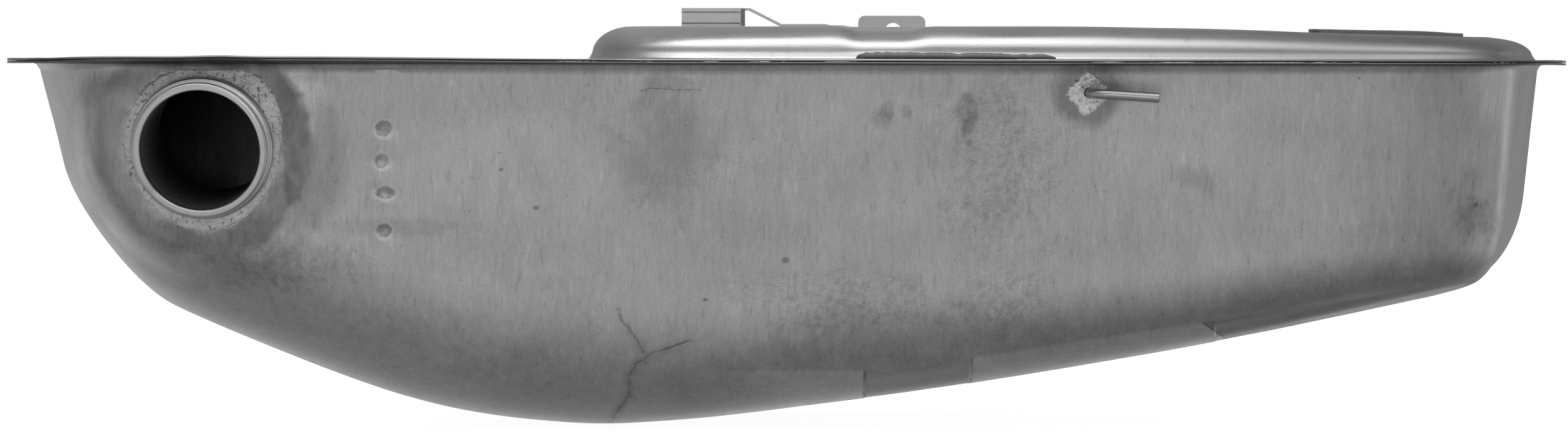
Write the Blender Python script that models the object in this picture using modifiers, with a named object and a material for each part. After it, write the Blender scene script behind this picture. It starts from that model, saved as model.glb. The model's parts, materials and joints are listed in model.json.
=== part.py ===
"""Pressed-steel fuel tank: two flanged shells, filler neck, vent tube, baffles and level sender.

Metres, +Z up.  The origin is under the middle of the tank, at its lowest point.  The filler
neck and the vent tube are on the -Y wall, and the deep end of the tank is towards -X.
"""
import bisect
import math

import bmesh
import bpy
from mathutils import Matrix, Vector

# Driving dimensions.
WIDTH = 0.500              # over the flange, along Y
FLANGE_Z = 0.1778          # seam between the two sheets of the flange
SHEET = 0.0010
GAP = 0.0003               # clearance kept between touching pieces
PLATE_TOP = FLANGE_Z + GAP / 2 + SHEET
WALL_LEFT, WALL_RIGHT = -0.3612, 0.3695
OVERHANG_LEFT, OVERHANG_SIDE, OVERHANG_RIGHT = 0.0151, 0.0140, 0.01425
LEFT_POWER, RIGHT_POWER = 7, 12          # roundness of the two ends in plan
END_SKEW = 0.083                         # the right end runs out towards the back
END_VALLEY = 0.007                       # dent down the middle of the right end wall
DRAFT_LEFT, DRAFT_SIDE, DRAFT_RIGHT = 0.25, 0.176, 0.11
BEND_LEFT, BEND_RIGHT, BEND_PULL_LEFT = 0.050, 0.037, 0.55  # bends between end walls and floor
FLOOR_CROWN = 0.004
SPINE_LEFT, SPINE_RIGHT = -0.170, 0.270   # the floor's middle line, which its rings close on
STATIONS = 34                            # places round half of the lower shell's outline
UPPER_STATIONS = 84                      # places all round the upper shell
DENSE = 600                              # points on an outline that is only measured
TURN_WEIGHT = 0.15                       # metres of spacing spent on each radian of corner

TRAY_LEFT, TRAY_RIGHT = -0.093, 0.3665
TRAY_HALF_WIDTH = 0.229
TRAY_HEIGHT = 0.0157
TRAY_FALL = 0.0052                       # the tray's top drops this much towards the right
TRAY_SIDE = 0.017                        # width of the rounded side in plan

SENDER_X, SENDER_Y = 0.008, 0.110
RECESS_RADIUS = 0.058
RECESS_DEPTH = 0.0151
SENDER_HOLE = 0.027
SENDER_Z = PLATE_TOP + TRAY_HEIGHT - RECESS_DEPTH    # floor of the recess

NECK_CENTRE = Vector((-0.2764, -0.2245, 0.1368))
NECK_AXIS = Vector((-0.13, -0.975, -0.172)).normalized()
NECK_BORE = 0.0288
NECK_TUBE = 0.0298
NECK_DEPTH = 0.046
PAD_RADIUS, PAD_EDGE = 0.047, 0.058

ORIGIN_SHIFT = (-0.0106, 0.0, -0.0003)       # brings the origin under the middle of the whole tank

VENT_RADIUS = 0.00238
VENT_PATH = ((0.1450, -0.2200, 0.1632), (0.1450, -0.2330, 0.1632), (0.1460, -0.2390, 0.1631),
             (0.1505, -0.2425, 0.1627), (0.1575, -0.2435, 0.1623), (0.1740, -0.2445, 0.1612))

BAFFLE_LEFT_X, BAFFLE_RIGHT_X = -0.190, 0.088
BAFFLE_CLEARANCE = 0.003

PIVOT = Vector((SENDER_X, SENDER_Y - 0.030, SENDER_Z - 0.056))
ARM_LENGTH = 0.108
ARM_DROOP = math.radians(38)
ARM_WIRE = 0.0013
FLOAT_RADIUS, FLOAT_LENGTH = 0.0155, 0.044
PICKUP_RADIUS = 0.0032

for old in list(bpy.data.objects):
    bpy.data.objects.remove(old)

PARTS = bpy.data.collections.new("fuel_tank")
CUTTERS = bpy.data.collections.new("cutters")
bpy.context.scene.collection.children.link(PARTS)
bpy.context.scene.collection.children.link(CUTTERS)


# --- materials -----------------------------------------------------------------------------

def metal(name, grey, roughness, metallic=1.0, colour=None):
    made = bpy.data.materials.new(name)
    made.use_nodes = True
    shader = made.node_tree.nodes["Principled BSDF"]
    shader.inputs["Base Color"].default_value = (*(colour or (grey, grey, grey)), 1)
    shader.inputs["Roughness"].default_value = roughness
    shader.inputs["Metallic"].default_value = metallic
    return made


def paint(obj, grey, roughness, metallic=1.0, colour=None):
    obj.data.materials.clear()
    obj.data.materials.append(metal(obj.name + "_finish", grey, roughness, metallic, colour))
    return obj


# --- building blocks -----------------------------------------------------------------------

def place(obj, collection=PARTS):
    """Move the object into one collection, and mark it if it is only a cutter."""
    for owner in list(obj.users_collection):
        owner.objects.unlink(obj)
    collection.objects.link(obj)
    if collection is CUTTERS:
        obj.hide_render = True
        obj.display_type = "WIRE"
    return obj


def from_bmesh(name, bm, collection=PARTS):
    bmesh.ops.remove_doubles(bm, verts=bm.verts, dist=1e-6)
    bmesh.ops.dissolve_degenerate(bm, edges=bm.edges, dist=1e-6)
    bmesh.ops.recalc_face_normals(bm, faces=bm.faces)
    mesh = bpy.data.meshes.new(name)
    bm.to_mesh(mesh)
    bm.free()
    mesh.shade_smooth()
    mesh.set_sharp_from_angle(angle=math.radians(35))
    return place(bpy.data.objects.new(name, mesh), collection)


def prism(name, outline, thickness, matrix, collection=PARTS):
    """Extrude a flat outline along its own +Z, then place it with a matrix."""
    bm = bmesh.new()
    base = bm.faces.new([bm.verts.new((x, y, 0)) for x, y in outline])
    pushed = bmesh.ops.extrude_face_region(bm, geom=[base])["geom"]
    moved = [item for item in pushed if isinstance(item, bmesh.types.BMVert)]
    bmesh.ops.translate(bm, verts=moved, vec=(0, 0, thickness))
    bm.transform(matrix)
    return from_bmesh(name, bm, collection)


def drum(name, radius, low, high, matrix=Matrix(), sides=40, collection=PARTS):
    """A plain cylinder between two heights on its own axis."""
    bm = bmesh.new()
    bmesh.ops.create_cone(bm, cap_ends=True, segments=sides, radius1=radius, radius2=radius,
                          depth=high - low)
    bm.transform(matrix @ Matrix.Translation((0, 0, (low + high) / 2)))
    return from_bmesh(name, bm, collection)


def turned(name, profile, matrix, steps=48, collection=PARTS):
    """Spin a closed (radius, height) profile round its own Z axis."""
    mesh = bpy.data.meshes.new(name)
    count = len(profile)
    mesh.from_pydata([(r, 0, h) for r, h in profile],
                     [(i, (i + 1) % count) for i in range(count)], [])
    obj = place(bpy.data.objects.new(name, mesh), collection)
    spin = obj.modifiers.new("turn", "SCREW")
    spin.axis = "Z"
    spin.steps = spin.render_steps = steps
    spin.use_merge_vertices = True
    spin.merge_threshold = 1e-5
    spin.use_smooth_shade = True
    obj.matrix_world = matrix
    return obj


def ring(name, inner, outer, low, high, matrix, steps=40, collection=PARTS):
    profile = [(outer, high), (outer, low), (inner, low), (inner, high)]
    return turned(name, profile, matrix, steps, collection)


def pipe(name, points, radius):
    """A round solid rod or tube along a path, made a welded mesh."""
    curve = bpy.data.curves.new(name, "CURVE")
    curve.dimensions = "3D"
    curve.bevel_depth = radius
    curve.bevel_resolution = 2
    curve.use_fill_caps = True
    spline = curve.splines.new("POLY")
    spline.points.add(len(points) - 1)
    for point, place_at in zip(spline.points, points):
        point.co = (*place_at, 1)
    rod = bpy.data.objects.new(name + "_curve", curve)
    bpy.context.scene.collection.objects.link(rod)
    bpy.context.view_layer.update()
    mesh = bpy.data.meshes.new_from_object(rod.evaluated_get(bpy.context.evaluated_depsgraph_get()))
    bpy.data.objects.remove(rod)
    bm = bmesh.new()
    bm.from_mesh(mesh)
    bpy.data.meshes.remove(mesh)
    return from_bmesh(name, bm)


def boolean(obj, cutter, operation="DIFFERENCE"):
    cut = obj.modifiers.new(operation.lower(), "BOOLEAN")
    cut.operation = operation
    cut.object = cutter
    place(cutter, CUTTERS)
    return obj


def axis_matrix(centre, direction):
    """A frame at centre whose +Z runs along the direction."""
    turn = Vector((0, 0, 1)).rotation_difference(Vector(direction).normalized())
    return Matrix.Translation(centre) @ turn.to_matrix().to_4x4()


def ramp(value, low, high):
    """0 below low, 1 above high, with a smooth climb between."""
    t = min(1.0, max(0.0, (value - low) / (high - low)))
    return t * t * (3 - 2 * t)


def smooth_path(points, steps=5):
    """Points along a smooth curve through the given ones (Catmull-Rom)."""
    knots = [Vector(p) for p in points]
    knots = [2 * knots[0] - knots[1]] + knots + [2 * knots[-1] - knots[-2]]
    path = []
    for i in range(1, len(knots) - 2):
        a, b, c, d = knots[i - 1:i + 3]
        for k in range(steps):
            t = k / steps
            path.append(0.5 * (2 * b + (c - a) * t + (2 * a - 5 * b + 4 * c - d) * t * t
                               + (3 * b - a - 3 * c + d) * t ** 3))
    return path + [knots[-2]]


# --- plan and section of the tank ----------------------------------------------------------

def rounded_half(left, right, half_width, left_power, right_power, count):
    """Points and outward normals on the +Y half of a rounded oblong, right tip to left tip.

    The points crowd where the outline turns.
    """
    middle = (left + right) / 2
    half = (right - left) / 2
    dense = []
    fine = 1200
    for i in range(fine + 1):
        angle = math.pi * i / fine
        power = right_power if angle <= math.pi / 2 else left_power
        c, s = math.cos(angle), max(0.0, math.sin(angle))
        reach = (abs(c) ** power + s ** power) ** (-1 / power)
        dense.append(Vector((middle + half * reach * c, half_width * reach * s)))
    normals = []
    for i in range(fine + 1):
        along = dense[min(i + 1, fine)] - dense[max(i - 1, 0)]
        normals.append(Vector((along.y, -along.x)).normalized())
    normals[0], normals[-1] = Vector((1, 0)), Vector((-1, 0))
    travelled = [0.0]
    for i in range(fine):
        turning = normals[i].angle(normals[i + 1])
        travelled.append(travelled[-1] + (dense[i + 1] - dense[i]).length + TURN_WEIGHT * turning)
    picked = []
    for k in range(count + 1):
        target = travelled[-1] * k / count
        i = min(fine, bisect.bisect_left(travelled, target))
        picked.append((dense[i], normals[i]))
    return picked


def full_outline(half):
    """The half outline and its mirror image, once round, counter-clockwise from the right tip."""
    other = [(Vector((p.x, -p.y)), Vector((n.x, -n.y))) for p, n in half[-2:0:-1]]
    return half + other


def by_direction(normal, left, side, right):
    """A value for the left end, the sides or the right end, blended by which way a wall faces."""
    end = right if normal.x > 0 else left
    return side + (end - side) * normal.x ** 2


def inward(point, normal):
    """Step in plan that moves the wall in by one unit, aimed so that the corners never fold."""
    aim = Vector((min(SPINE_RIGHT, max(SPINE_LEFT, point.x)) - point.x, -point.y)).normalized()
    return aim / -aim.dot(normal)


def skewed(x, y):
    """Plan x of the slanted right end."""
    return x + END_SKEW * y * ramp(x, 0.10, 0.36)


def wall_place(at):
    """Where a point of the wall or the bend lies once the right end is slanted and dented."""
    depth = ramp(WALL_TOP - at.z, 0.002, 0.030)
    dent = END_VALLEY * depth * math.exp(-(at.y / 0.045) ** 2) * ramp(at.x, 0.28, 0.345)
    return press_pad(Vector((skewed(at.x, at.y) - dent, at.y, at.z)))


FLOOR_KNOTS = ((-0.345, 0.0800), (-0.301, 0.0602), (-0.2635, 0.0438), (-0.214, 0.0240),
               (-0.177, 0.0115), (-0.1395, 0.0040), (-0.090, -0.0002), (-0.040, 0.0030),
               (0.009, 0.0090), (0.071, 0.0170), (0.133, 0.0270), (0.195, 0.0373),
               (0.257, 0.0488), (0.307, 0.0597), (0.350, 0.0690))


def floor_height(x, y):
    """Outer face of the floor: a dished bottom, deepest towards the left."""
    knots = FLOOR_KNOTS
    i = max(k for k in range(len(knots) - 1) if k == 0 or knots[k][0] <= x)
    (x0, z0), (x1, z1) = knots[i], knots[i + 1]
    return z0 + (z1 - z0) * (x - x0) / (x1 - x0) + FLOOR_CROWN * (y / 0.18) ** 2


def bottom_bend(x, normal):
    """Reach of the bend between wall and floor, generous along the sides of the deep end."""
    return by_direction(normal, BEND_LEFT, max(0.022, 0.047 - 0.065 * x), BEND_RIGHT)


WALL_TOP = FLANGE_Z - GAP / 2 - SHEET      # underside of the lower shell's flange


def wall_section(point, normal):
    """Outer face from the top of the wall to the edge of the floor, as (x, y, z) points."""
    draft = by_direction(normal, DRAFT_LEFT, DRAFT_SIDE, DRAFT_RIGHT)
    step = inward(point, normal)
    corner_z = 0.05
    for _ in range(12):
        inset = (WALL_TOP - corner_z) * draft
        corner = point + step * inset
        corner_z = floor_height(corner.x, corner.y)
    bend = min(bottom_bend(corner.x, normal), (WALL_TOP - corner_z) * 0.7)
    start_z = corner_z + bend
    start = point + step * (WALL_TOP - start_z) * draft
    end = corner + step * bend
    first = Vector((start.x, start.y, start_z))
    middle = Vector((corner.x, corner.y, corner_z))
    last = Vector((end.x, end.y, floor_height(end.x, end.y)))
    section = []
    for depth in (0.003, 0.3 * (WALL_TOP - start_z), 0.65 * (WALL_TOP - start_z)):
        at = point + step * depth * draft
        section.append(Vector((at.x, at.y, WALL_TOP - depth)))
    for k in range(6):
        t = k / 5
        pull = 2 * t * (1 - t) * by_direction(normal, BEND_PULL_LEFT, 1.0, 1.0)
        total = first * (1 - t) ** 2 + middle * pull + last * t ** 2
        section.append(total / ((1 - t) ** 2 + pull + t ** 2))
    return section


def press_pad(at):
    """Flatten the wall to a round seat, square to the filler neck."""
    offset = at - NECK_CENTRE
    height = offset.dot(NECK_AXIS)
    radius = (offset - NECK_AXIS * height).length
    if abs(height) > 0.03:
        return at
    return at - NECK_AXIS * height * (1 - ramp(radius, PAD_RADIUS, PAD_EDGE))


def loft(name, rings):
    """One open sheet through rings of equal point count."""
    bm = bmesh.new()
    rows = [[bm.verts.new(p) for p in row] for row in rings]
    count = len(rows[0])
    for upper, lower in zip(rows, rows[1:]):
        for i in range(count):
            j = (i + 1) % count
            corners = (upper[i], lower[i], lower[j], upper[j])
            bm.faces.new(corners)
    return from_bmesh(name, bm)


def solidify(obj, outward_z):
    """Give the sheet its thickness, on the side away from the face that was drawn."""
    up = sum(p.normal.z * p.area for p in obj.data.polygons)
    if up * outward_z < 0:
        obj.data.flip_normals()
    wall = obj.modifiers.new("sheet", "SOLIDIFY")
    wall.thickness = SHEET
    wall.offset = -1
    wall.use_even_offset = True
    return obj


OUTLINE = full_outline(rounded_half(WALL_LEFT, WALL_RIGHT, WIDTH / 2 - OVERHANG_SIDE,
                                    LEFT_POWER, RIGHT_POWER, STATIONS))


def flange_edge(point, normal):
    reach = by_direction(normal, OVERHANG_LEFT, OVERHANG_SIDE, OVERHANG_RIGHT)
    return point + normal * reach


def make_lower_shell():
    sections = [wall_section(point, normal) for point, normal in OUTLINE]
    rings = [[], [], []]
    for point, normal in OUTLINE:
        edge = flange_edge(point, normal)
        root = point + normal * 0.0035
        bend = point + normal * 0.0008
        rings[0].append(Vector((skewed(edge.x, edge.y), edge.y, WALL_TOP)))
        rings[1].append(Vector((skewed(root.x, root.y), root.y, WALL_TOP)))
        rings[2].append(Vector((skewed(bend.x, bend.y), bend.y, WALL_TOP - 0.0010)))
    for k in range(len(sections[0])):
        rings.append([wall_place(section[k]) for section in sections])
    for share in (0.5, 1.0):
        row = []
        for section in sections:
            edge = section[-1]
            spine_x = min(SPINE_RIGHT, max(SPINE_LEFT, edge.x))
            x = edge.x + (spine_x - edge.x) * share
            y = edge.y * (1 - share)
            row.append(Vector((skewed(x, y), y, floor_height(x, y))))
        rings.append(row)
    shell = solidify(loft("lower_shell", rings), -1)
    neck = drum("neck_cut", NECK_TUBE + 2 * GAP, -0.03, 0.03, axis_matrix(NECK_CENTRE, NECK_AXIS))
    boolean(shell, neck)
    vent_from, vent_to = Vector(VENT_PATH[0]), Vector(VENT_PATH[1])
    vent_way = axis_matrix((vent_from + vent_to) / 2, vent_to - vent_from)
    boolean(shell, drum("vent_cut", VENT_RADIUS + GAP, -0.012, 0.012, vent_way, sides=16))
    return paint(shell, 0.42, 0.42)


# --- upper shell ---------------------------------------------------------------------------

def tray_top(x):
    return PLATE_TOP + TRAY_HEIGHT - TRAY_FALL * ramp(x, 0.14, 0.40)


def polar_table(outline):
    """Direction and distance of each point of an outline, seen from the sender's axis."""
    table = []
    for point in outline:
        x, y = point.x - SENDER_X, point.y - SENDER_Y
        table.append((math.atan2(y, x), math.hypot(x, y)))
    table.sort()
    first, last = table[0], table[-1]
    return [(last[0] - 2 * math.pi, last[1])] + table + [(first[0] + 2 * math.pi, first[1])]


def on_outline(table, angle):
    """The point where a ray from the sender's axis meets the outline."""
    i = max(1, bisect.bisect_left(table, (angle, 0.0)))
    (a0, r0), (a1, r1) = table[i - 1], table[i]
    reach = r0 + (r1 - r0) * (angle - a0) / max(a1 - a0, 1e-9)
    return Vector((SENDER_X + reach * math.cos(angle), SENDER_Y + reach * math.sin(angle)))


def tray_outline(inset):
    half = rounded_half(TRAY_LEFT + inset, TRAY_RIGHT - inset, TRAY_HALF_WIDTH - inset,
                        LEFT_POWER, RIGHT_POWER, DENSE)
    return polar_table([point for point, _ in full_outline(half)])


def shared_angles(tables):
    """Directions that follow the corners of every outline in the list."""
    angles = [-math.pi + 2 * math.pi * k / 1440 for k in range(1441)]
    rows = [[on_outline(table, angle) for angle in angles] for table in tables]
    travelled = [0.0]
    for k in range(1440):
        step = 0.0
        for row in rows:
            here = row[(k + 1) % 1440] - row[k]
            after = row[(k + 2) % 1440] - row[(k + 1) % 1440]
            step += here.length + TURN_WEIGHT * here.angle(after)
        travelled.append(travelled[-1] + step)
    picked = []
    for k in range(UPPER_STATIONS):
        target = travelled[-1] * k / UPPER_STATIONS
        picked.append(angles[bisect.bisect_left(travelled, target)])
    return picked


def make_upper_shell():
    top = PLATE_TOP
    rim = full_outline(rounded_half(WALL_LEFT, WALL_RIGHT, WIDTH / 2 - OVERHANG_SIDE,
                                    LEFT_POWER, RIGHT_POWER, DENSE))
    flange = polar_table([flange_edge(point, normal) for point, normal in rim])
    angles = shared_angles([flange, tray_outline(0)])
    rings = [[Vector((skewed(*on_outline(flange, a)), on_outline(flange, a).y, top)) for a in angles]]
    side = ((-0.002, 0.0), (0.0, 0.03), (0.10, 0.28), (0.25, 0.60), (0.50, 0.88), (1.0, 1.0))
    for inset, rise in side:
        table = tray_outline(TRAY_SIDE * inset)
        row = []
        for angle in angles:
            x, y = on_outline(table, angle)
            row.append(Vector((skewed(x, y), y, top + (tray_top(x) - top) * rise)))
        rings.append(row)
    edge = rings[-1]
    for share in (0.4, 0.8):
        row = []
        for angle, outer in zip(angles, edge):
            x = outer.x + (SENDER_X + RECESS_RADIUS * math.cos(angle) - outer.x) * share
            y = outer.y + (SENDER_Y + RECESS_RADIUS * math.sin(angle) - outer.y) * share
            row.append(Vector((x, y, tray_top(x))))
        rings.append(row)
    rim_z = tray_top(SENDER_X)
    recess = ((RECESS_RADIUS, rim_z), (RECESS_RADIUS - 0.002, rim_z - 0.002),
              (RECESS_RADIUS - 0.005, SENDER_Z + 0.002), (RECESS_RADIUS - 0.007, SENDER_Z),
              (SENDER_HOLE, SENDER_Z))
    for radius, height in recess:
        rings.append([Vector((SENDER_X + radius * math.cos(a), SENDER_Y + radius * math.sin(a), height))
                      for a in angles])
    return paint(solidify(loft("upper_shell", rings), 1), 0.55, 0.35)


# --- baffles -------------------------------------------------------------------------------

def make_baffle(name, x, holes):
    """An upright plate across the tank, its edge following the inside of the lower shell."""
    middle, half = (WALL_LEFT + WALL_RIGHT) / 2, (WALL_RIGHT - WALL_LEFT) / 2
    power = RIGHT_POWER if x > middle else LEFT_POWER
    reach = (WIDTH / 2 - OVERHANG_SIDE) * (1 - abs((x - middle) / half) ** power) ** (1 / power)
    section = wall_section(Vector((x, reach)), Vector((0, 1)))
    section.append(Vector((x, 0, floor_height(x, 0))))
    inset = SHEET + BAFFLE_CLEARANCE
    edge = [(section[0].y - inset - 0.001, FLANGE_Z - 0.003)]
    for before, at, after in zip(section, section[1:], section[2:]):
        along = Vector((after.y - before.y, after.z - before.z)).normalized()
        edge.append((at.y + along.y * inset, at.z - along.x * inset))
    outline = edge + [(-y, z) for y, z in reversed(edge)]
    upright = Matrix(((0, 0, 1, x), (1, 0, 0, 0), (0, 1, 0, 0), (0, 0, 0, 1)))
    plate = prism(name, outline, SHEET, upright)
    for i, (y, z, radius) in enumerate(holes):
        across = axis_matrix((x, y, z), (1, 0, 0))
        boolean(plate, drum(f"{name}_hole_{i}", radius, -0.01, 0.01, across, sides=24))
    return paint(plate, 0.40, 0.5)


# --- filler neck and vent ------------------------------------------------------------------

def make_filler_neck():
    bore, tube = NECK_BORE, NECK_TUBE
    outer = [(0.0313, 0.0100), (0.0324, 0.0092), (0.0326, 0.0080), (0.0316, 0.0069),
             (0.0304, 0.0063), (0.0316, 0.0056), (0.0337, 0.0048), (0.0343, 0.0034),
             (0.0339, 0.0018), (0.0326, 0.0010), (tube + GAP, 0.0009), (tube, 0.0002)]
    inner = [(tube, -NECK_DEPTH), (bore, -NECK_DEPTH), (bore, 0.0090), (bore + 0.0006, 0.0100)]
    neck = turned("filler_neck", outer + inner, axis_matrix(NECK_CENTRE, NECK_AXIS), steps=44)
    return paint(neck, 0.62, 0.3)


def make_solder(name, centre, direction, inner, outer, height, grey=0.6):
    """A low collar of solder on the wall, thick at the tube and thin at its edge."""
    profile = [(inner, height), (inner + (outer - inner) * 0.3, height * 0.72),
               (inner + (outer - inner) * 0.7, height * 0.35), (outer, 0.0007), (outer, GAP),
               (inner, GAP)]
    collar = turned(name, profile, axis_matrix(centre, direction), steps=28)
    return paint(collar, grey, 0.6)


def make_vent():
    wall = Vector((VENT_PATH[0][0], -0.2337, VENT_PATH[0][2]))
    make_solder("vent_tube_solder", wall, (0, -1, -DRAFT_SIDE), 0.0034, 0.0078, 0.0030)
    end = Vector(VENT_PATH[-1])
    way = (end - Vector(VENT_PATH[-2])).normalized()
    path = smooth_path(VENT_PATH, 4) + [end + way * 0.0040]
    return paint(pipe("vent_tube", path, VENT_RADIUS), 0.5, 0.35)


# --- level sender and fuel pickup ----------------------------------------------------------

def at_sender(x=0.0, y=0.0, z=0.0):
    return Matrix.Translation((SENDER_X + x, SENDER_Y + y, SENDER_Z + z))


def box(name, low, high, matrix, collection=PARTS):
    bm = bmesh.new()
    bmesh.ops.create_cube(bm, size=1)
    low, high = Vector(low), Vector(high)
    bm.transform(matrix @ Matrix.Translation((low + high) / 2) @ Matrix.Diagonal((*(high - low), 1)))
    return from_bmesh(name, bm, collection)


TANGS = 3
TANG_HALF_ANGLE = math.radians(14)
TANG_LOW, TANG_HIGH = 0.0066, 0.0078


def make_locating_ring():
    """The ring fixed round the sender's hole, with inward tangs that hold the lock ring down."""
    profile = [(0.0430, TANG_HIGH), (0.0430, GAP), (0.0290, GAP), (0.0290, 0.0015),
               (0.0418, 0.0015), (0.0418, TANG_LOW), (0.0370, TANG_LOW), (0.0370, TANG_HIGH)]
    base = turned("sender_locating_ring", profile, at_sender(), steps=48)
    for i in range(TANGS):
        start = 2 * math.pi * i / TANGS + TANG_HALF_ANGLE
        stop = 2 * math.pi * (i + 1) / TANGS - TANG_HALF_ANGLE
        arc = [start + (stop - start) * k / 4 for k in range(5)]
        wedge = [(0.0, 0.0)] + [(0.06 * math.cos(a), 0.06 * math.sin(a)) for a in arc]
        boolean(base, prism(f"tang_gap_{i}", wedge, 0.02, at_sender(z=0.0021)))
    return paint(base, 0.5, 0.4)


def make_lock_ring():
    outline = []
    for k in range(72):
        angle = 2 * math.pi * k / 72
        off = (angle + math.pi / TANGS) % (2 * math.pi / TANGS) - math.pi / TANGS
        radius = 0.0405 if abs(off) < TANG_HALF_ANGLE else 0.0362
        outline.append((radius * math.cos(angle), radius * math.sin(angle)))
    lock = prism("sender_lock_ring", outline, 0.0012, at_sender(z=0.0049))
    boolean(lock, drum("lock_ring_hole", 0.0240, -0.01, 0.02, at_sender()))
    return paint(lock, 0.6, 0.35)


STUD_AT = (0.011, -0.007)
PICKUP_AT = (-0.012, 0.010)


def make_sender_top():
    paint(ring("sender_gasket", 0.0275, 0.0355, 0.0018, 0.0033, at_sender()), 0.03, 0.8, 0.0)
    plate = drum("sender_flange", 0.0345, 0.0036, 0.0046, at_sender())
    boolean(plate, drum("stud_hole", 0.0030, -0.01, 0.02, at_sender(*STUD_AT), sides=20))
    boolean(plate, drum("pickup_hole", PICKUP_RADIUS + 0.0006, -0.01, 0.02,
                        at_sender(*PICKUP_AT), sides=20))
    paint(plate, 0.55, 0.35)
    paint(ring("sender_terminal_insulator", 0.0020, 0.0062, 0.0049, 0.0068, at_sender(*STUD_AT),
               steps=20), 0.05, 0.5, 0.0)
    paint(drum("sender_terminal_stud", 0.0016, -0.004, 0.0128, at_sender(*STUD_AT), sides=16),
          0.6, 0.3, colour=(0.72, 0.55, 0.28))
    hexagon = [(0.0036 * math.cos(a), 0.0036 * math.sin(a)) for a in
               (math.pi * k / 3 for k in range(6))]
    nut = prism("sender_terminal_nut", hexagon, 0.0025, at_sender(*STUD_AT, 0.0071))
    boolean(nut, drum("nut_hole", 0.0019, -0.01, 0.02, at_sender(*STUD_AT), sides=16))
    paint(nut, 0.6, 0.3, colour=(0.72, 0.55, 0.28))


def make_sender_body():
    paint(box("sender_bracket", (-0.007, -0.0135, -0.080), (0.007, -0.0125, 0.0033), at_sender()),
          0.5, 0.4)
    drop, out = PIVOT.z - SENDER_Z, PIVOT.y - SENDER_Y
    housing = box("sender_housing", (-0.012, -0.0222, drop - 0.013), (0.012, -0.0138, drop + 0.013),
                  at_sender())
    for side in (-1, 1):
        ear = box(f"housing_ear_{side + 1}", (side * 0.0100, out - 0.004, drop - 0.004),
                  (side * 0.0085, -0.0200, drop + 0.004), at_sender())
        boolean(housing, ear, "UNION")
    boolean(housing, drum("pivot_hole", ARM_WIRE + 0.0004, -0.03, 0.03,
                          axis_matrix(PIVOT, (1, 0, 0)), sides=16))
    paint(housing, 0.10, 0.5, 0.0)


def make_float_arm():
    """The wire arm turns in the housing's ears, and its far end carries the float."""
    along = Vector((0, -math.cos(ARM_DROOP), -math.sin(ARM_DROOP)))
    side, turn = 0.0265, 0.002
    face = FLOAT_LENGTH / 2 + GAP
    route = ((-0.0125, 0), (0.0, 0), (side - turn, 0), (side - turn * 0.3, turn * 0.3), (side, turn),
             (side, ARM_LENGTH - turn), (side - turn * 0.3, ARM_LENGTH - turn * 0.3),
             (side - turn, ARM_LENGTH), (face, ARM_LENGTH))
    path = [PIVOT + Vector((x, 0, 0)) + along * reach for x, reach in route]
    paint(pipe("float_arm", path, ARM_WIRE), 0.6, 0.3)
    centre = PIVOT + along * ARM_LENGTH
    half, r, lip = FLOAT_LENGTH / 2, FLOAT_RADIUS, 0.003
    profile = [(0.0, half), (r - lip, half), (r - lip * 0.3, half - lip * 0.3), (r, half - lip),
               (r, lip - half), (r - lip * 0.3, lip * 0.3 - half), (r - lip, -half), (0.0, -half)]
    bm = bmesh.new()
    rim = [bm.verts.new((radius, 0, height)) for radius, height in profile]
    edges = [bm.edges.new(pair) for pair in zip(rim, rim[1:])]
    bmesh.ops.spin(bm, geom=rim + edges, cent=(0, 0, 0), axis=(0, 0, 1), angle=2 * math.pi, steps=28)
    bm.transform(axis_matrix(centre, (1, 0, 0)))
    paint(from_bmesh("float", bm), 0.6, 0.35, colour=(0.72, 0.55, 0.28))


def make_pickup():
    x, y = PICKUP_AT
    route = ((-0.0455, y, 0.0122), (-0.0300, y, 0.0122), (-0.0200, y, 0.0120), (-0.0145, y, 0.0092),
             (x, y, 0.0030), (x, y, -0.0300), (x, y, -0.1200), (x - 0.003, y, -0.1400),
             (x - 0.011, y, -0.1530), (x - 0.0250, y, -0.1615), (x - 0.0450, y, -0.1650),
             (x - 0.0640, y, -0.1655))
    path = [Vector((SENDER_X + a, SENDER_Y + b, SENDER_Z + c)) for a, b, c in smooth_path(route, 3)]
    tube = pipe("pickup_tube", path, PICKUP_RADIUS)
    mouth = axis_matrix(path[0], path[0] - path[1])
    boolean(tube, drum("nipple_bore", PICKUP_RADIUS - 0.0009, -0.010, 0.01, mouth, sides=12))
    paint(tube, 0.5, 0.35)
    sock_end = path[-1] + Vector((-GAP, 0, 0))
    bm = bmesh.new()
    bmesh.ops.create_uvsphere(bm, u_segments=20, v_segments=10, radius=1)
    size = Matrix.Diagonal((0.026, 0.016, 0.0038, 1))
    bm.transform(Matrix.Translation(sock_end + Vector((-0.026, 0, -0.0005))) @ size)
    paint(from_bmesh("strainer_sock", bm), 0.5, 0.9, 0.0, (0.62, 0.60, 0.52))


# --- brackets on the outside ---------------------------------------------------------------

ALONG_X = Matrix(((0, 0, 1, 0), (1, 0, 0, 0), (0, 1, 0, 0), (0, 0, 0, 1)))     # outline in Y, Z
ALONG_Y = Matrix(((1, 0, 0, 0), (0, 0, 1, 0), (0, 1, 0, 0), (0, 0, 0, 1)))     # outline in X, Z
CLIP_SHEET = 0.0012
CLIP_LEFT, CLIP_RIGHT = -0.0500, -0.0190
CLIP_FRONT, CLIP_BACK = -0.0750, -0.0550
CLIP_TOP = 0.2039


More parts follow.
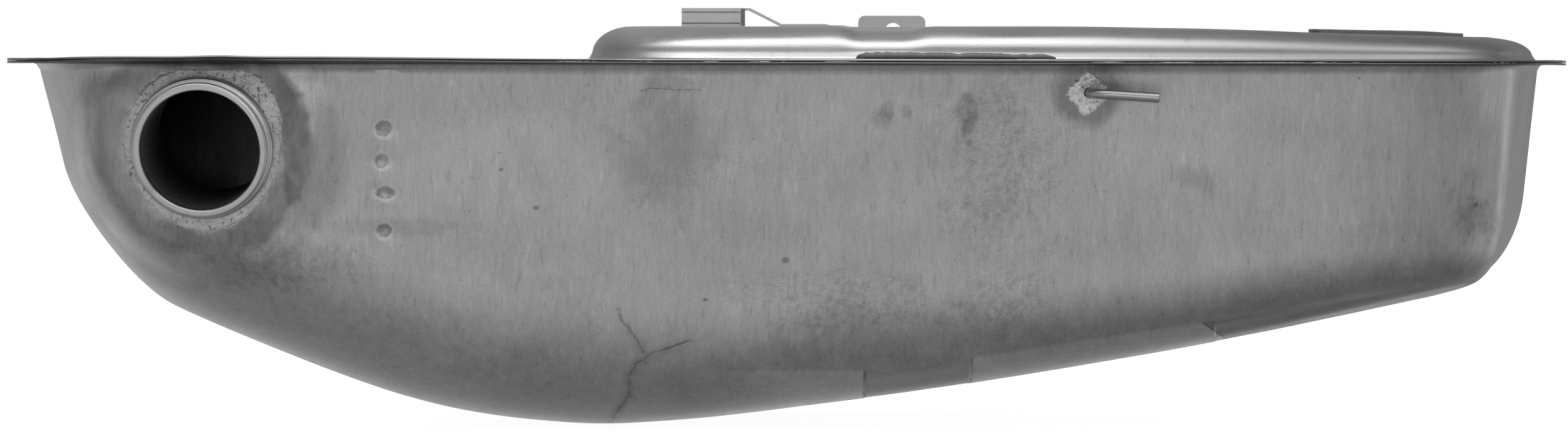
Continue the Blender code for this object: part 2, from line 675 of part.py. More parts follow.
def make_hose_clip():
    """A C-shaped channel with a strap that steps down to a foot on the tray."""
    low, thick = tray_top(0) + GAP, CLIP_SHEET
    front, back = CLIP_FRONT, CLIP_BACK
    c_shape = [(front, low), (front, CLIP_TOP), (back, CLIP_TOP), (back, CLIP_TOP - thick),
               (front + thick, CLIP_TOP - thick), (front + thick, low + thick),
               (front + 0.012, low + thick), (front + 0.012, low)]
    clip = prism("hose_clip", c_shape, CLIP_RIGHT - CLIP_LEFT,
                 Matrix.Translation((CLIP_LEFT, 0, 0)) @ ALONG_X)
    strap = [(-0.0230, CLIP_TOP - 0.00005), (-0.0165, CLIP_TOP - 0.00005), (-0.0012, low + thick),
             (0.0205, low + thick), (0.0228, low + 0.0006), (0.0290, low + 0.0006), (0.0330, low),
             (-0.0018, low), (-0.0172, CLIP_TOP - thick), (-0.0230, CLIP_TOP - thick + 0.0001)]
    foot = prism("clip_strap", strap, 0.014, Matrix.Translation((0, front + 0.003, 0)) @ ALONG_Y)
    return paint(boolean(clip, foot, "UNION"), 0.62, 0.3)


TAB_LEFT, TAB_RIGHT = 0.0381, 0.0726
TAB_FRONT, TAB_SHEET = 0.2385, 0.0015
TAB_TOP = 0.2014
TAB_HOLE = Vector((0.0560, TAB_FRONT, 0.1933))


def make_tab_bracket():
    low, r = PLATE_TOP + GAP, 0.0033
    corner = [(r * math.cos(a), r * math.sin(a)) for a in (math.pi / 8 * k for k in range(5))]
    outline = [(TAB_LEFT, low), (TAB_RIGHT, low)]
    outline += [(TAB_RIGHT - r + x, TAB_TOP - r + z) for x, z in corner]
    outline += [(TAB_LEFT + r - x, TAB_TOP - r + z) for x, z in reversed(corner)]
    tab = prism("tab_bracket", outline, TAB_SHEET, Matrix.Translation((0, TAB_FRONT, 0)) @ ALONG_Y)
    inside = TAB_FRONT + TAB_SHEET - 0.0005
    foot = box("tab_foot", (TAB_LEFT, inside, low), (TAB_RIGHT - 0.004, 0.2485, low + TAB_SHEET), Matrix())
    boolean(tab, foot, "UNION")
    lug = box("tab_return", (TAB_RIGHT - TAB_SHEET, inside, low + 0.0030),
              (TAB_RIGHT - 0.00005, 0.2455, TAB_TOP - 0.0045), Matrix())
    boolean(tab, lug, "UNION")
    boolean(tab, drum("tab_hole", 0.0044, -0.01, 0.01, axis_matrix(TAB_HOLE, (0, 1, 0)), sides=24))
    return paint(tab, 0.5, 0.35)


def make_support_plate():
    thick = CLIP_SHEET
    left, bend, right = 0.2553, 0.3065, 0.3270
    low = tray_top(left) + GAP
    under = [(left, low), (bend, low - 0.0009), (right, tray_top(right) + GAP)]
    over = [(x + (0.0003 if x == right else 0), z + thick) for x, z in under]
    plate = prism("support_plate", under + over[::-1], 0.060,
                  Matrix.Translation((0, -0.150, 0)) @ ALONG_Y)
    return paint(plate, 0.35, 0.5)


def make_flange_strip():
    """A thin strip lying along the near edge of the flange, with rounded ends."""
    left, right, front, back = 0.0340, 0.1292, -0.2490, -0.2375
    r = (back - front) / 2
    middle = (front + back) / 2
    arc = [(math.sin(a), math.cos(a)) for a in (math.pi / 6 * k for k in range(7))]
    outline = [(right - r + r * s, middle + r * c) for s, c in arc]
    outline += [(left + r - r * s, middle - r * c) for s, c in arc]
    low = PLATE_TOP + GAP
    strip = prism("flange_strip", outline, 0.0022, Matrix.Translation((0, 0, low)))
    return paint(strip, 0.3, 0.6)


make_lower_shell()
make_upper_shell()
make_baffle("baffle_left", BAFFLE_LEFT_X, ((-0.11, 0.060, 0.020), (0, 0.105, 0.032), (0.11, 0.060, 0.020)))
make_baffle("baffle_right", BAFFLE_RIGHT_X, ((-0.12, 0.065, 0.018), (0, 0.110, 0.028), (0.12, 0.065, 0.018)))
make_filler_neck()
make_solder("filler_neck_solder", NECK_CENTRE, NECK_AXIS, 0.0347, 0.0372, 0.0028)
make_vent()
make_locating_ring()
make_lock_ring()
make_sender_top()
make_sender_body()
make_float_arm()
make_pickup()
make_hose_clip()
make_tab_bracket()
make_support_plate()
make_flange_strip()


# --- frame and joint axes ------------------------------------------------------------------

def carry(name, place_at, children):
    """An empty at a joint's axis, or at the tank's origin, that carries the named objects."""
    empty = bpy.data.objects.new(name, None)
    empty.location = place_at
    PARTS.objects.link(empty)
    bpy.context.view_layer.update()
    for child in children:
        child.parent = empty
        child.matrix_parent_inverse = empty.matrix_world.inverted()
    return empty


moving = {"float_pivot": (PIVOT, ("float_arm", "float")),
          "lock_ring_axis": ((SENDER_X, SENDER_Y, SENDER_Z), ("sender_lock_ring",))}
axes = [carry(name, at, [bpy.data.objects[node] for node in nodes])
        for name, (at, nodes) in moving.items()]
loose = [obj for obj in list(PARTS.objects) + list(CUTTERS.objects) if obj.parent is None]
tank = carry("tank_frame", (0, 0, 0), loose)
tank.location = ORIGIN_SHIFT
bpy.context.view_layer.update()
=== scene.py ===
"""The pressed-steel fuel tank's finished look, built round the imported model.

Shapes are worked out in the design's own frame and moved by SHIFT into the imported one.
The photographed side faces -Y, and the deep end with the filler neck is towards -X.
"""
import bisect
import json
import math

import bmesh
import bpy
from mathutils import Matrix, Vector, noise
from mathutils.bvhtree import BVHTree

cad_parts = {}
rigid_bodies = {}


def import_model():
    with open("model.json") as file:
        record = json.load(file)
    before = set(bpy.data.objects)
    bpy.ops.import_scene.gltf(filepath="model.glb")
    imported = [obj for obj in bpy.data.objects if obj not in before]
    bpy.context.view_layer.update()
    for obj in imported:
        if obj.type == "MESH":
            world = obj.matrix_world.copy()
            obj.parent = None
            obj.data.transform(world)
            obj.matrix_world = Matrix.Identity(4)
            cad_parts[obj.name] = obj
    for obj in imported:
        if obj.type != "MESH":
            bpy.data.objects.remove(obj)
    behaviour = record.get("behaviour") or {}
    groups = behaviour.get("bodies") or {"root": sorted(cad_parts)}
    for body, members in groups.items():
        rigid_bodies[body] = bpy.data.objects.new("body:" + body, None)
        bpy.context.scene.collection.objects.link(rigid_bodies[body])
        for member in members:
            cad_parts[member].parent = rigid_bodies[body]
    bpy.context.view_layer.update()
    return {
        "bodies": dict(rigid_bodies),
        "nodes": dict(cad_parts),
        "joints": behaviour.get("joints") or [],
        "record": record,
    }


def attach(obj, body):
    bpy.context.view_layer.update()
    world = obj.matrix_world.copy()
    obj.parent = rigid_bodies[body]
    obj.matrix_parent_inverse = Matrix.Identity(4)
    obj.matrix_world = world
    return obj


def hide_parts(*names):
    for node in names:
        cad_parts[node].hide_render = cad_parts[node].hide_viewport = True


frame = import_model()
scene = bpy.context.scene

SHIFT = Vector((-0.0106, 0.0, -0.0003))
ROOT = "tank"

# Driving dimensions, the same as the solid model's.
WIDTH = 0.500
FLANGE_Z = 0.1778
SHEET, GAP = 0.0010, 0.0003
WALL_LEFT, WALL_RIGHT = -0.3612, 0.3695
OVERHANG_LEFT, OVERHANG_SIDE, OVERHANG_RIGHT = 0.0151, 0.0140, 0.01425
LEFT_POWER, RIGHT_POWER = 7, 12
END_SKEW, END_VALLEY = 0.083, 0.007
DRAFT_LEFT, DRAFT_SIDE, DRAFT_RIGHT = 0.25, 0.176, 0.11
BEND_LEFT, BEND_RIGHT, BEND_PULL_LEFT = 0.050, 0.037, 0.55
FLOOR_CROWN = 0.004
SPINE_LEFT, SPINE_RIGHT = -0.170, 0.270
WALL_TOP = FLANGE_Z - GAP / 2 - SHEET
PLATE_TOP = FLANGE_Z + GAP / 2 + SHEET
TRAY_LEFT, TRAY_RIGHT, TRAY_HALF_WIDTH = -0.093, 0.3665, 0.229
TRAY_HEIGHT, TRAY_FALL, TRAY_SIDE = 0.0157, 0.0052, 0.017
SENDER_X, SENDER_Y = 0.008, 0.110
RECESS_RADIUS, RECESS_DEPTH, SENDER_HOLE = 0.058, 0.0151, 0.027
SENDER_Z = PLATE_TOP + TRAY_HEIGHT - RECESS_DEPTH
NECK_CENTRE = Vector((-0.2764, -0.2245, 0.1368))
NECK_AXIS = Vector((-0.13, -0.975, -0.172)).normalized()
NECK_BORE, NECK_TUBE, NECK_DEPTH = 0.0288, 0.0298, 0.046
PAD_RADIUS, PAD_EDGE = 0.047, 0.058
VENT_AT = Vector((0.1450, -0.2335, 0.1632))
FLOOR_KNOTS = ((-0.345, 0.0800), (-0.301, 0.0602), (-0.2635, 0.0438), (-0.214, 0.0240),
               (-0.177, 0.0115), (-0.1395, 0.0040), (-0.090, -0.0002), (-0.040, 0.0030),
               (0.009, 0.0090), (0.071, 0.0170), (0.133, 0.0270), (0.195, 0.0373),
               (0.257, 0.0488), (0.307, 0.0597), (0.350, 0.0690))

# Marks on the near wall, as (x, z) in the design's frame.
# Spot welds: x, z, half width, half height, or x, z and size for the faint ones.
BAFFLE_WELDS = ((-0.1903, 0.1458, 0.0036, 0.0036), (-0.1914, 0.1303, 0.0033, 0.0032),
                (-0.1895, 0.1152, 0.0042, 0.0029), (-0.1903, 0.0970, 0.0033, 0.0030))
FAINT_WELDS = ((0.0482, 0.1545, 0.0046), (0.0590, 0.1545, 0.0026), (0.0875, 0.1610, 0.0030),
               (0.0875, 0.1475, 0.0040), (0.0880, 0.1400, 0.0022))
CREASES = (((-0.0794, 0.0595), (-0.0770, 0.0535), (-0.0701, 0.0460), (-0.0665, 0.0391)),
           ((-0.0452, 0.0442), (-0.0614, 0.0385), (-0.0701, 0.0337), (-0.0734, 0.0275),
            (-0.0740, 0.0176), (-0.0833, 0.0044)))
SCRATCHES = (((-0.0680, 0.1641), (-0.0520, 0.1646), (-0.0405, 0.1639)),)
# Dark and light patches on the near wall: x, z, half width, half height, change of tone.
PATCHES = ((-0.0530, 0.1680, 0.0150, 0.0040, -0.15), (-0.0590, 0.1370, 0.0250, 0.0300, -0.22),
           (0.1000, 0.1300, 0.0240, 0.0420, -0.06), (-0.1800, 0.0990, 0.0420, 0.0050, -0.13),
           (-0.2310, 0.0940, 0.0150, 0.0070, 0.12), (0.0480, 0.1500, 0.0070, 0.0060, -0.20),
           (0.0870, 0.1540, 0.0070, 0.0110, -0.20), (-0.1300, 0.1300, 0.0500, 0.0340, 0.07),
           (0.1900, 0.1250, 0.0550, 0.0300, 0.06), (0.1930, 0.1230, 0.0120, 0.0070, -0.20),
           (0.3270, 0.1050, 0.0090, 0.0120, -0.18), (-0.3370, 0.1430, 0.0035, 0.0260, 0.14),
           (-0.3270, 0.1200, 0.0075, 0.0280, -0.18),
           (-0.2620, 0.0760, 0.0300, 0.0080, -0.11), (-0.2300, 0.0790, 0.0240, 0.0110, -0.08),
           # The row at (-0.2310, 0.1660) is painted shade that dims a highlight beside the neck's seat, near
           # the flange.
           (-0.2310, 0.1660, 0.0140, 0.0110, -0.30), (0.0500, 0.0480, 0.0500, 0.0150, -0.14),
           # This row is painted shade on the right end's near corner.
           (0.3341, 0.1150, 0.0110, 0.0550, -0.20))
# Coarse, pitted areas: x, z, half width, half height.
ROUGH_AREAS = ((0.1020, 0.1300, 0.0300, 0.0520), (0.1080, 0.0640, 0.0300, 0.0150),
               (0.0350, 0.0590, 0.0500, 0.0130), (-0.2400, 0.0800, 0.0450, 0.0150),
               (0.0200, 0.0700, 0.0500, 0.0100), (0.3300, 0.1050, 0.0120, 0.0180))
# Small dark dots: x, z, size.
DARK_DOTS = ((0.2730, 0.1703, 0.0009), (-0.1180, 0.1080, 0.0016), (-0.0375, 0.0640, 0.0014),
             (-0.1345, 0.1262, 0.0014), (0.3300, 0.1100, 0.0015), (0.0010, 0.0830, 0.0022))
# Strap channels across the bottom: left edge, right edge, how long the right edge runs out.
STRAP_CHANNELS = ((0.0387, 0.0900, 0.0012), (0.2125, 0.3200, 0.0400))
PANEL_SLOPE, CHANNEL_SLANT = 0.1555, 1.45
PAN_TONE = 0.55

# The flange's welded seam, and the fillet where the flange turns down into the wall.
SEAM_AT, SEAM_HALF, SEAM_DEPTH = 0.45, 0.12, 0.00022
FILLET = 0.0030
STRIP_LEFT, STRIP_RIGHT, STRIP_FRONT, STRIP_BACK = 0.0340, 0.1292, -0.2492, -0.2375
PLATE_LEFT, PLATE_BEND, PLATE_RIGHT = 0.2553, 0.3065, 0.3272
PLATE_FRONT, PLATE_BACK, PLATE_THICK = -0.1500, -0.0900, 0.0012
PLATE_GROOVES = ((-0.150, 0.120), (-0.225, 0.120), (-0.300, 0.120))
# The tray side's foot, as (out from the side, up from the plate); it takes the lowest side rows' place.
TRAY_FOOT = 0.0035
TRAY_COVE = ((0.0019, 0.0002), (0.0015, 0.0006), (0.0011, 0.0014), (0.0007, 0.0023), (0.0003, 0.0031))
UPRIGHT = math.radians(14)
VENT_PATH = ((0.1450, -0.2200, 0.1632), (0.1450, -0.2330, 0.1632), (0.1460, -0.2390, 0.1631),
             (0.1505, -0.2425, 0.1627), (0.1575, -0.2435, 0.1623), (0.1740, -0.2445, 0.1612))
VENT_RADIUS, VENT_WALL, VENT_BORE_DEPTH = 0.00238, 0.0007, 0.010

# How finely the drawn sheets are divided.
HALF_STATIONS, SKIN_STATIONS, OUTLINE_STEPS = 440, 900, 4000
FLANGE_ROWS, FILLET_ROWS, WALL_ROWS, BEND_ROWS, FLOOR_ROWS = 9, 5, 44, 26, 16
SIDE_ROWS, COVE_ROWS, PLATE_ROWS, TOP_ROWS = 22, 4, 64, 40


def ramp(value, low, high):
    """0 below low, 1 above high, with a smooth climb between."""
    t = min(1.0, max(0.0, (value - low) / (high - low)))
    return t * t * (3 - 2 * t)


# --- plan and section ----------------------------------------------------------------------

def rounded_half(left, right, half_width, count, close_at=()):
    """Points and outward normals on the +Y half of the plan, right tip to left tip.

    Stations crowd together where the plan turns and near each x in close_at.
    """
    middle, half, fine = (left + right) / 2, (right - left) / 2, OUTLINE_STEPS
    dense = []
    for i in range(fine + 1):
        angle = math.pi * i / fine
        power = RIGHT_POWER if angle <= math.pi / 2 else LEFT_POWER
        c, s = math.cos(angle), max(0.0, math.sin(angle))
        reach = (abs(c) ** power + s ** power) ** (-1 / power)
        dense.append(Vector((middle + half * reach * c, half_width * reach * s)))
    normals = []
    for i in range(fine + 1):
        along = dense[min(i + 1, fine)] - dense[max(i - 1, 0)]
        normals.append(Vector((along.y, -along.x)).normalized())
    normals[0], normals[-1] = Vector((1, 0)), Vector((-1, 0))
    travelled = [0.0]
    for i in range(fine):
        turning = normals[i].angle(normals[i + 1])
        crowd = 6.0 if any(abs(dense[i].x - at) < 0.003 for at in close_at) else 1.0
        travelled.append(travelled[-1] + crowd * (dense[i + 1] - dense[i]).length + 0.10 * turning)
    picked = []
    for k in range(count + 1):
        i = min(fine, bisect.bisect_left(travelled, travelled[-1] * k / count))
        picked.append((dense[i], normals[i]))
    return picked


def full_outline(half):
    """Both halves of the plan, from the +Y one."""
    other = [(Vector((p.x, -p.y)), Vector((n.x, -n.y))) for p, n in half[-2:0:-1]]
    return half + other


def by_direction(normal, left, side, right):
    """A value that changes round the plan, given at the left end, the long sides and the right end."""
    end = right if normal.x > 0 else left
    return side + (end - side) * normal.x ** 2


def inward(point, normal):
    """The way in from the plan towards the spine, one unit deep square to the plan."""
    aim = Vector((min(SPINE_RIGHT, max(SPINE_LEFT, point.x)) - point.x, -point.y)).normalized()
    return aim / -aim.dot(normal)


def put(x, y, z):
    """A point with the right end's slant."""
    return Vector((x + END_SKEW * y * ramp(x, 0.10, 0.36), y, z))


def floor_height(x, y):
    """The dished floor, with its straight runs eased into each other."""
    def straight(at):
        i = max(k for k in range(len(FLOOR_KNOTS) - 1) if k == 0 or FLOOR_KNOTS[k][0] <= at)
        (x0, z0), (x1, z1) = FLOOR_KNOTS[i], FLOOR_KNOTS[i + 1]
        return z0 + (z1 - z0) * (at - x0) / (x1 - x0)
    eased = sum(straight(x + step) for step in (-0.016, -0.008, 0, 0.008, 0.016)) / 5
    return eased + FLOOR_CROWN * (y / 0.18) ** 2


def press_pad(at):
    """Flatten the wall to a round seat, square to the filler neck."""
    offset = at - NECK_CENTRE
    height = offset.dot(NECK_AXIS)
    if abs(height) > 0.03:
        return at
    radius = (offset - NECK_AXIS * height).length
    hold = 1 - ramp(radius, PAD_RADIUS - 0.003, PAD_EDGE + 0.014)
    return at - NECK_AXIS * height * hold * (1 - 0.90 * ramp(at.z, 0.1560, 0.1755))


def strap_press(x, share, half_floor):
    """How far the strap channels are pressed in at this x; share runs 0 to 1 down the bend."""
    depth = 0.0
    for left, right, run_out in STRAP_CHANNELS:
        across = ramp(x, left, left + 0.0012) * (1 - ramp(x, right - run_out, right))
        depth = max(depth, across)
    fade = (1 - 0.72 * ramp(share, 0.62, 0.95)) * (1 - 0.6 * half_floor)
    return 0.0020 * depth * ramp(share, 0.42, 0.74) * fade


def wall_place(at):
    """The slanted, dented right end, the neck's seat, and the hand of the press on the sheet."""
    depth = ramp(WALL_TOP - at.z, 0.002, 0.030)
    dent = END_VALLEY * depth * math.exp(-(at.y / 0.045) ** 2) * ramp(at.x, 0.28, 0.345)
    placed = put(*at) - Vector((dent, 0, 0))
    if placed.y < -0.15:
        for x, z, wide, high in BAFFLE_WELDS:
            near = math.hypot((placed.x - x) / wide, (placed.z - z) / high)
            if near < 1:
                placed.y += 0.0007 * (1 - near * near) ** 0.5
        crease = math.exp(-((placed.x + 0.190) / 0.010) ** 2) * ramp(placed.z, 0.07, 0.10)
        placed.y += 0.0005 * crease
    sway = noise.noise(placed * 11.0) * 0.0009 + noise.noise(placed * 31.0) * 0.00028
    placed.y += sway * depth * (1 if placed.y > 0 else -1)
    placed.x += 0.6 * sway * depth * (1 if placed.x > 0 else -1)
    return press_pad(placed)


def flange_sag(x, y, reach):
    """Small waves along the flange's edge, as drawn sheet has."""
    wave = 0.0004 * noise.noise(Vector((x * 9, y * 9, 3.0)))
    lifted = ramp(x, -0.375, -0.335) * (1 - ramp(x, -0.24, -0.07)) * ramp(-y, 0.20, 0.24)
    kink = math.exp(-((x + 0.268) / 0.014) ** 2) * ramp(-y, 0.20, 0.24)
    return reach * (wave + 0.0010 * lifted + 0.0005 * kink)


def seam_weld(share, along, pitch):
    """How deep the welded seam is pressed at this share of the flange, nugget by nugget."""
    nugget = 0.55 + 0.45 * math.cos(along * 2 * math.pi / pitch)
    return SEAM_DEPTH * math.exp(-((share - SEAM_AT) / SEAM_HALF) ** 2) * nugget


def across_flange(point, normal, share):
    """A plan point on the flange: share 0 at its edge, 1 where the wall's fillet begins."""
    reach = by_direction(normal, OVERHANG_LEFT, OVERHANG_SIDE, OVERHANG_RIGHT)
    return point + normal * (reach + (FILLET - reach) * share)


def flange_row(point, normal, share):
    """A point on the underside of the flange, with its waves and welded seam."""
    at = across_flange(point, normal, share)
    along = point.x * normal.y - point.y * normal.x
    return put(at.x, at.y, WALL_TOP + flange_sag(at.x, at.y, 1 - share) + seam_weld(share, along, 0.0032))


def shell_section(point, normal):
    """One station of the lower shell's outer face, from the flange's edge to the middle line."""
    draft = by_direction(normal, DRAFT_LEFT, DRAFT_SIDE, DRAFT_RIGHT)
    step = inward(point, normal)
    corner_z = 0.05
    for _ in range(12):
        corner = point + step * (WALL_TOP - corner_z) * draft
        corner_z = floor_height(corner.x, corner.y)
    bend = by_direction(normal, BEND_LEFT, max(0.022, 0.047 - 0.065 * corner.x), BEND_RIGHT)
    bend *= 1 - 0.30 * ramp(point.x, 0.30, 0.36) * ramp(-point.y, 0.10, 0.21)
    bend = min(bend, (WALL_TOP - corner_z) * 0.7)
    hold = by_direction(normal, BEND_PULL_LEFT, 1.0, 1.0)
    start_z = corner_z + bend
    start = point + step * (WALL_TOP - start_z) * draft
    end = corner + step * bend
    first = Vector((start.x, start.y, start_z))
    middle = Vector((corner.x, corner.y, corner_z))
    last = Vector((end.x, end.y, floor_height(end.x, end.y)))
    rows = [flange_row(point, normal, k / (FLANGE_ROWS - 1)) for k in range(FLANGE_ROWS)]
    for k in range(1, FILLET_ROWS + 1):
        turn = math.pi / 2 * k / (FILLET_ROWS + 1)
        at = point + normal * FILLET * (1 - math.sin(turn))
        rows.append(put(at.x, at.y, WALL_TOP - FILLET * (1 - math.cos(turn))))
    for k in range(WALL_ROWS):
        depth = FILLET + (WALL_TOP - start_z - FILLET) * k / WALL_ROWS
        at = point + step * depth * draft
        rows.append(wall_place(Vector((at.x, at.y, WALL_TOP - depth))))
    facing = Vector((-step.x, -step.y, -0.9)).normalized()
    for k in range(BEND_ROWS + 1):
        t = k / BEND_ROWS
        pull = 2 * t * (1 - t) * hold
        at = (first * (1 - t) ** 2 + middle * pull + last * t ** 2) / ((1 - t) ** 2 + pull + t ** 2)
        at -= facing * strap_press(at.x, t, 0)
        rows.append(wall_place(at))
    spine_x = min(SPINE_RIGHT, max(SPINE_LEFT, end.x))
    for k in range(1, FLOOR_ROWS + 1):
        share = k / FLOOR_ROWS
        x, y = end.x + (spine_x - end.x) * share, end.y * (1 - share)
        lift = strap_press(x, 1, ramp(share, 0, 0.4))
        ripple = 0.0006 * noise.noise(Vector((x * 14, y * 14, 7.0))) * ramp(share, 0, 0.3)
        rows.append(put(x, y, floor_height(x, y) + lift + abs(ripple)))
    return rows


# --- mesh helpers --------------------------------------------------------------------------

def finish_mesh(name, bm, sharp=40.0, body=ROOT):
    """A smooth-shaded piece from bm, riding on a body."""
    bmesh.ops.remove_doubles(bm, verts=bm.verts, dist=1e-6)
    bmesh.ops.dissolve_degenerate(bm, edges=bm.edges, dist=1e-7)
    bmesh.ops.recalc_face_normals(bm, faces=bm.faces)
    mesh = bpy.data.meshes.new(name)
    bm.to_mesh(mesh)
    bm.free()
    mesh.shade_smooth()
    mesh.set_sharp_from_angle(angle=math.radians(sharp))
    obj = bpy.data.objects.new(name, mesh)
    scene.collection.objects.link(obj)
    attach(obj, body)
    return obj


def loft(name, columns, drop=None, sharp=40.0):
    """A closed ring of columns of points joined into a sheet; drop(centre) leaves faces out."""
    bm = bmesh.new()
    grid = [[bm.verts.new(p + SHIFT) for p in column] for column in columns]
    for here, after in zip(grid, grid[1:] + grid[:1]):
        for k in range(len(here) - 1):
            corners = (here[k], here[k + 1], after[k + 1], after[k])
            if drop and drop(sum((v.co for v in corners), Vector()) / 4 - SHIFT):
                continue
            bm.faces.new(corners)
    loose = [v for v in bm.verts if not v.link_faces]
    bmesh.ops.delete(bm, geom=loose, context="VERTS")
    return finish_mesh(name, bm, sharp)


def fill_ends(obj, sides):
    """Close the open ends of a lofted piece."""
    bm = bmesh.new()
    bm.from_mesh(obj.data)
    bmesh.ops.holes_fill(bm, edges=[e for e in bm.edges if e.is_boundary], sides=sides)
    bmesh.ops.recalc_face_normals(bm, faces=bm.faces)
    bm.to_mesh(obj.data)
    bm.free()


def thicken(obj, up):
    """Sheet thickness behind the face that was drawn; up is the way most of it looks."""
    lean = sum(p.normal.z * p.area for p in obj.data.polygons)
    if lean * up < 0:
        obj.data.flip_normals()
    wall = obj.modifiers.new("sheet", "SOLIDIFY")
    wall.thickness = SHEET
    wall.offset = -1
    wall.use_rim = True
    return obj


def axis_frame(centre, direction):
    """A matrix at centre whose +Z points along direction."""
    turn = Vector((0, 0, 1)).rotation_difference(Vector(direction).normalized())
    return Matrix.Translation(centre) @ turn.to_matrix().to_4x4()


def spun(name, profile, matrix, segments):
    """A turned piece from a closed (radius, height) profile round the matrix's +Z."""
    columns = []
    for i in range(segments):
        angle = 2 * math.pi * i / segments
        columns.append([matrix @ Vector((r * math.cos(angle), r * math.sin(angle), h))
                        for r, h in profile + profile[:1]])
    return loft(name, columns)


def arc(cx, cy, radius, start, stop, count):
    """Points (x, y) on an arc, angles in degrees."""
    steps = [math.radians(start + (stop - start) * k / count) for k in range(count + 1)]
    return [(cx + radius * math.cos(a), cy + radius * math.sin(a)) for a in steps]


# --- the two shells ------------------------------------------------------------------------

def make_lower_shell():
    """The drawn pan with its flange, open at the filler neck and the vent."""
    strap_edges = [x for left, right, _ in STRAP_CHANNELS for x in (left, right)]
    stations = full_outline(rounded_half(WALL_LEFT, WALL_RIGHT, WIDTH / 2 - OVERHANG_SIDE,
                                         HALF_STATIONS, close_at=strap_edges))

    def in_opening(centre):
        for middle, axis, radius in ((NECK_CENTRE, NECK_AXIS, 0.0322),
                                     (VENT_AT, Vector((0, -1, 0)), 0.0022)):
            offset = centre - middle
            along = offset.dot(axis)
            if abs(along) < 0.02 and (offset - axis * along).length < radius:
                return True
        return False

    shell = loft("lower_shell_drawn", [shell_section(p, n) for p, n in stations], in_opening)
    thicken(shell, -1)
    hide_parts("lower_shell")
    return shell


def polar_table(outline):
    """An outline as (angle, reach) round the sender's axis, with one entry over at each end."""
    table = sorted((math.atan2(p.y - SENDER_Y, p.x - SENDER_X), math.hypot(p.x - SENDER_X, p.y - SENDER_Y))
                   for p in outline)
    first, last = table[0], table[-1]
    return [(last[0] - 2 * math.pi, last[1])] + table + [(first[0] + 2 * math.pi, first[1])]


def on_outline(table, angle):
    """Where a ray from the sender's axis meets the outline."""
    i = max(1, bisect.bisect_left(table, (angle, 0.0)))
    (a0, r0), (a1, r1) = table[i - 1], table[i]
    reach = r0 + (r1 - r0) * (angle - a0) / max(a1 - a0, 1e-9)
    return Vector((SENDER_X + reach * math.cos(angle), SENDER_Y + reach * math.sin(angle)))


def tray_top(x):
    """The tray's height, falling towards the right."""
    return PLATE_TOP + TRAY_HEIGHT - TRAY_FALL * ramp(x, 0.14, 0.40)


def tray_skin(x, y):
    """The tray's top with the slight rise and dips of the drawn sheet."""
    dip = 0.0021 * ramp(x, 0.0240, 0.0370) * (1 - ramp(x, 0.0560, 0.0720)) * ramp(abs(y), 0.15, 0.19)
    return tray_top(x) - dip + 0.0006 * noise.noise(Vector((x * 12, y * 12, 1.0)))


def plate_skin(x, y):
    """The flat plate left of the tray, with three shallow stiffening grooves."""
    groove = 0.0
    for at, reach in PLATE_GROOVES:
        along = max(0.0, abs(y) - reach)
        groove = max(groove, math.exp(-(((x - at) ** 2 + along ** 2) / 0.0060 ** 2) ** 2))
    return PLATE_TOP - 0.0016 * groove + 0.00025 * noise.noise(Vector((x * 10, y * 10, 5.0)))


def shared_angles(tables):
    """Angles round the sender that crowd together where the outlines turn."""
    fine = 3600
    angles = [-math.pi + 2 * math.pi * k / fine for k in range(fine + 1)]
    rows = [[on_outline(table, angle) for angle in angles] for table in tables]
    travelled = [0.0]
    for k in range(fine):
        step = 0.0
        for row in rows:
            here = row[(k + 1) % fine] - row[k % fine]
            after = row[(k + 2) % fine] - row[(k + 1) % fine]
            step += here.length + 0.10 * here.angle(after, 0.0)
        travelled.append(travelled[-1] + step)
    return [angles[bisect.bisect_left(travelled, travelled[-1] * k / SKIN_STATIONS)]
            for k in range(SKIN_STATIONS)]


def side_outlines():
    """The tray side's outlines from the plate up, each with its share of the height."""
    tables = []
    for k in range(SIDE_ROWS + 1):
        turn = math.pi / 2 * k / SIDE_ROWS
        lean = max(0.0, turn - UPRIGHT) * (math.pi / 2) / (math.pi / 2 - UPRIGHT)
        tables.append((tray_outline(TRAY_SIDE * (1 - math.cos(lean)) ** 0.92), math.sin(turn)))
    return tables


def tray_outline(inset):
    """The tray's plan, drawn in by inset, as seen from the sender's axis."""
    half = rounded_half(TRAY_LEFT + inset, TRAY_RIGHT - inset, TRAY_HALF_WIDTH - inset, 1000)
    return polar_table([p for p, _ in full_outline(half)])


def recess_profile(rim_radius, rim_z):
    """The sender's recess as (radius, z), from its rolled rim in to the hole."""
    rolled = arc(rim_radius, rim_z - 0.003, 0.003, 90, 160, 6)[1:]
    foot = [(RECESS_RADIUS - inset, SENDER_Z + up)
            for inset, up in ((0.0055, 0.0030), (0.0064, 0.0012), (0.0080, 0.0002))]
    return rolled + foot + [(0.050, SENDER_Z), (0.040, SENDER_Z), (SENDER_HOLE + 0.001, SENDER_Z),
                            (SENDER_HOLE, SENDER_Z - 0.0004)]


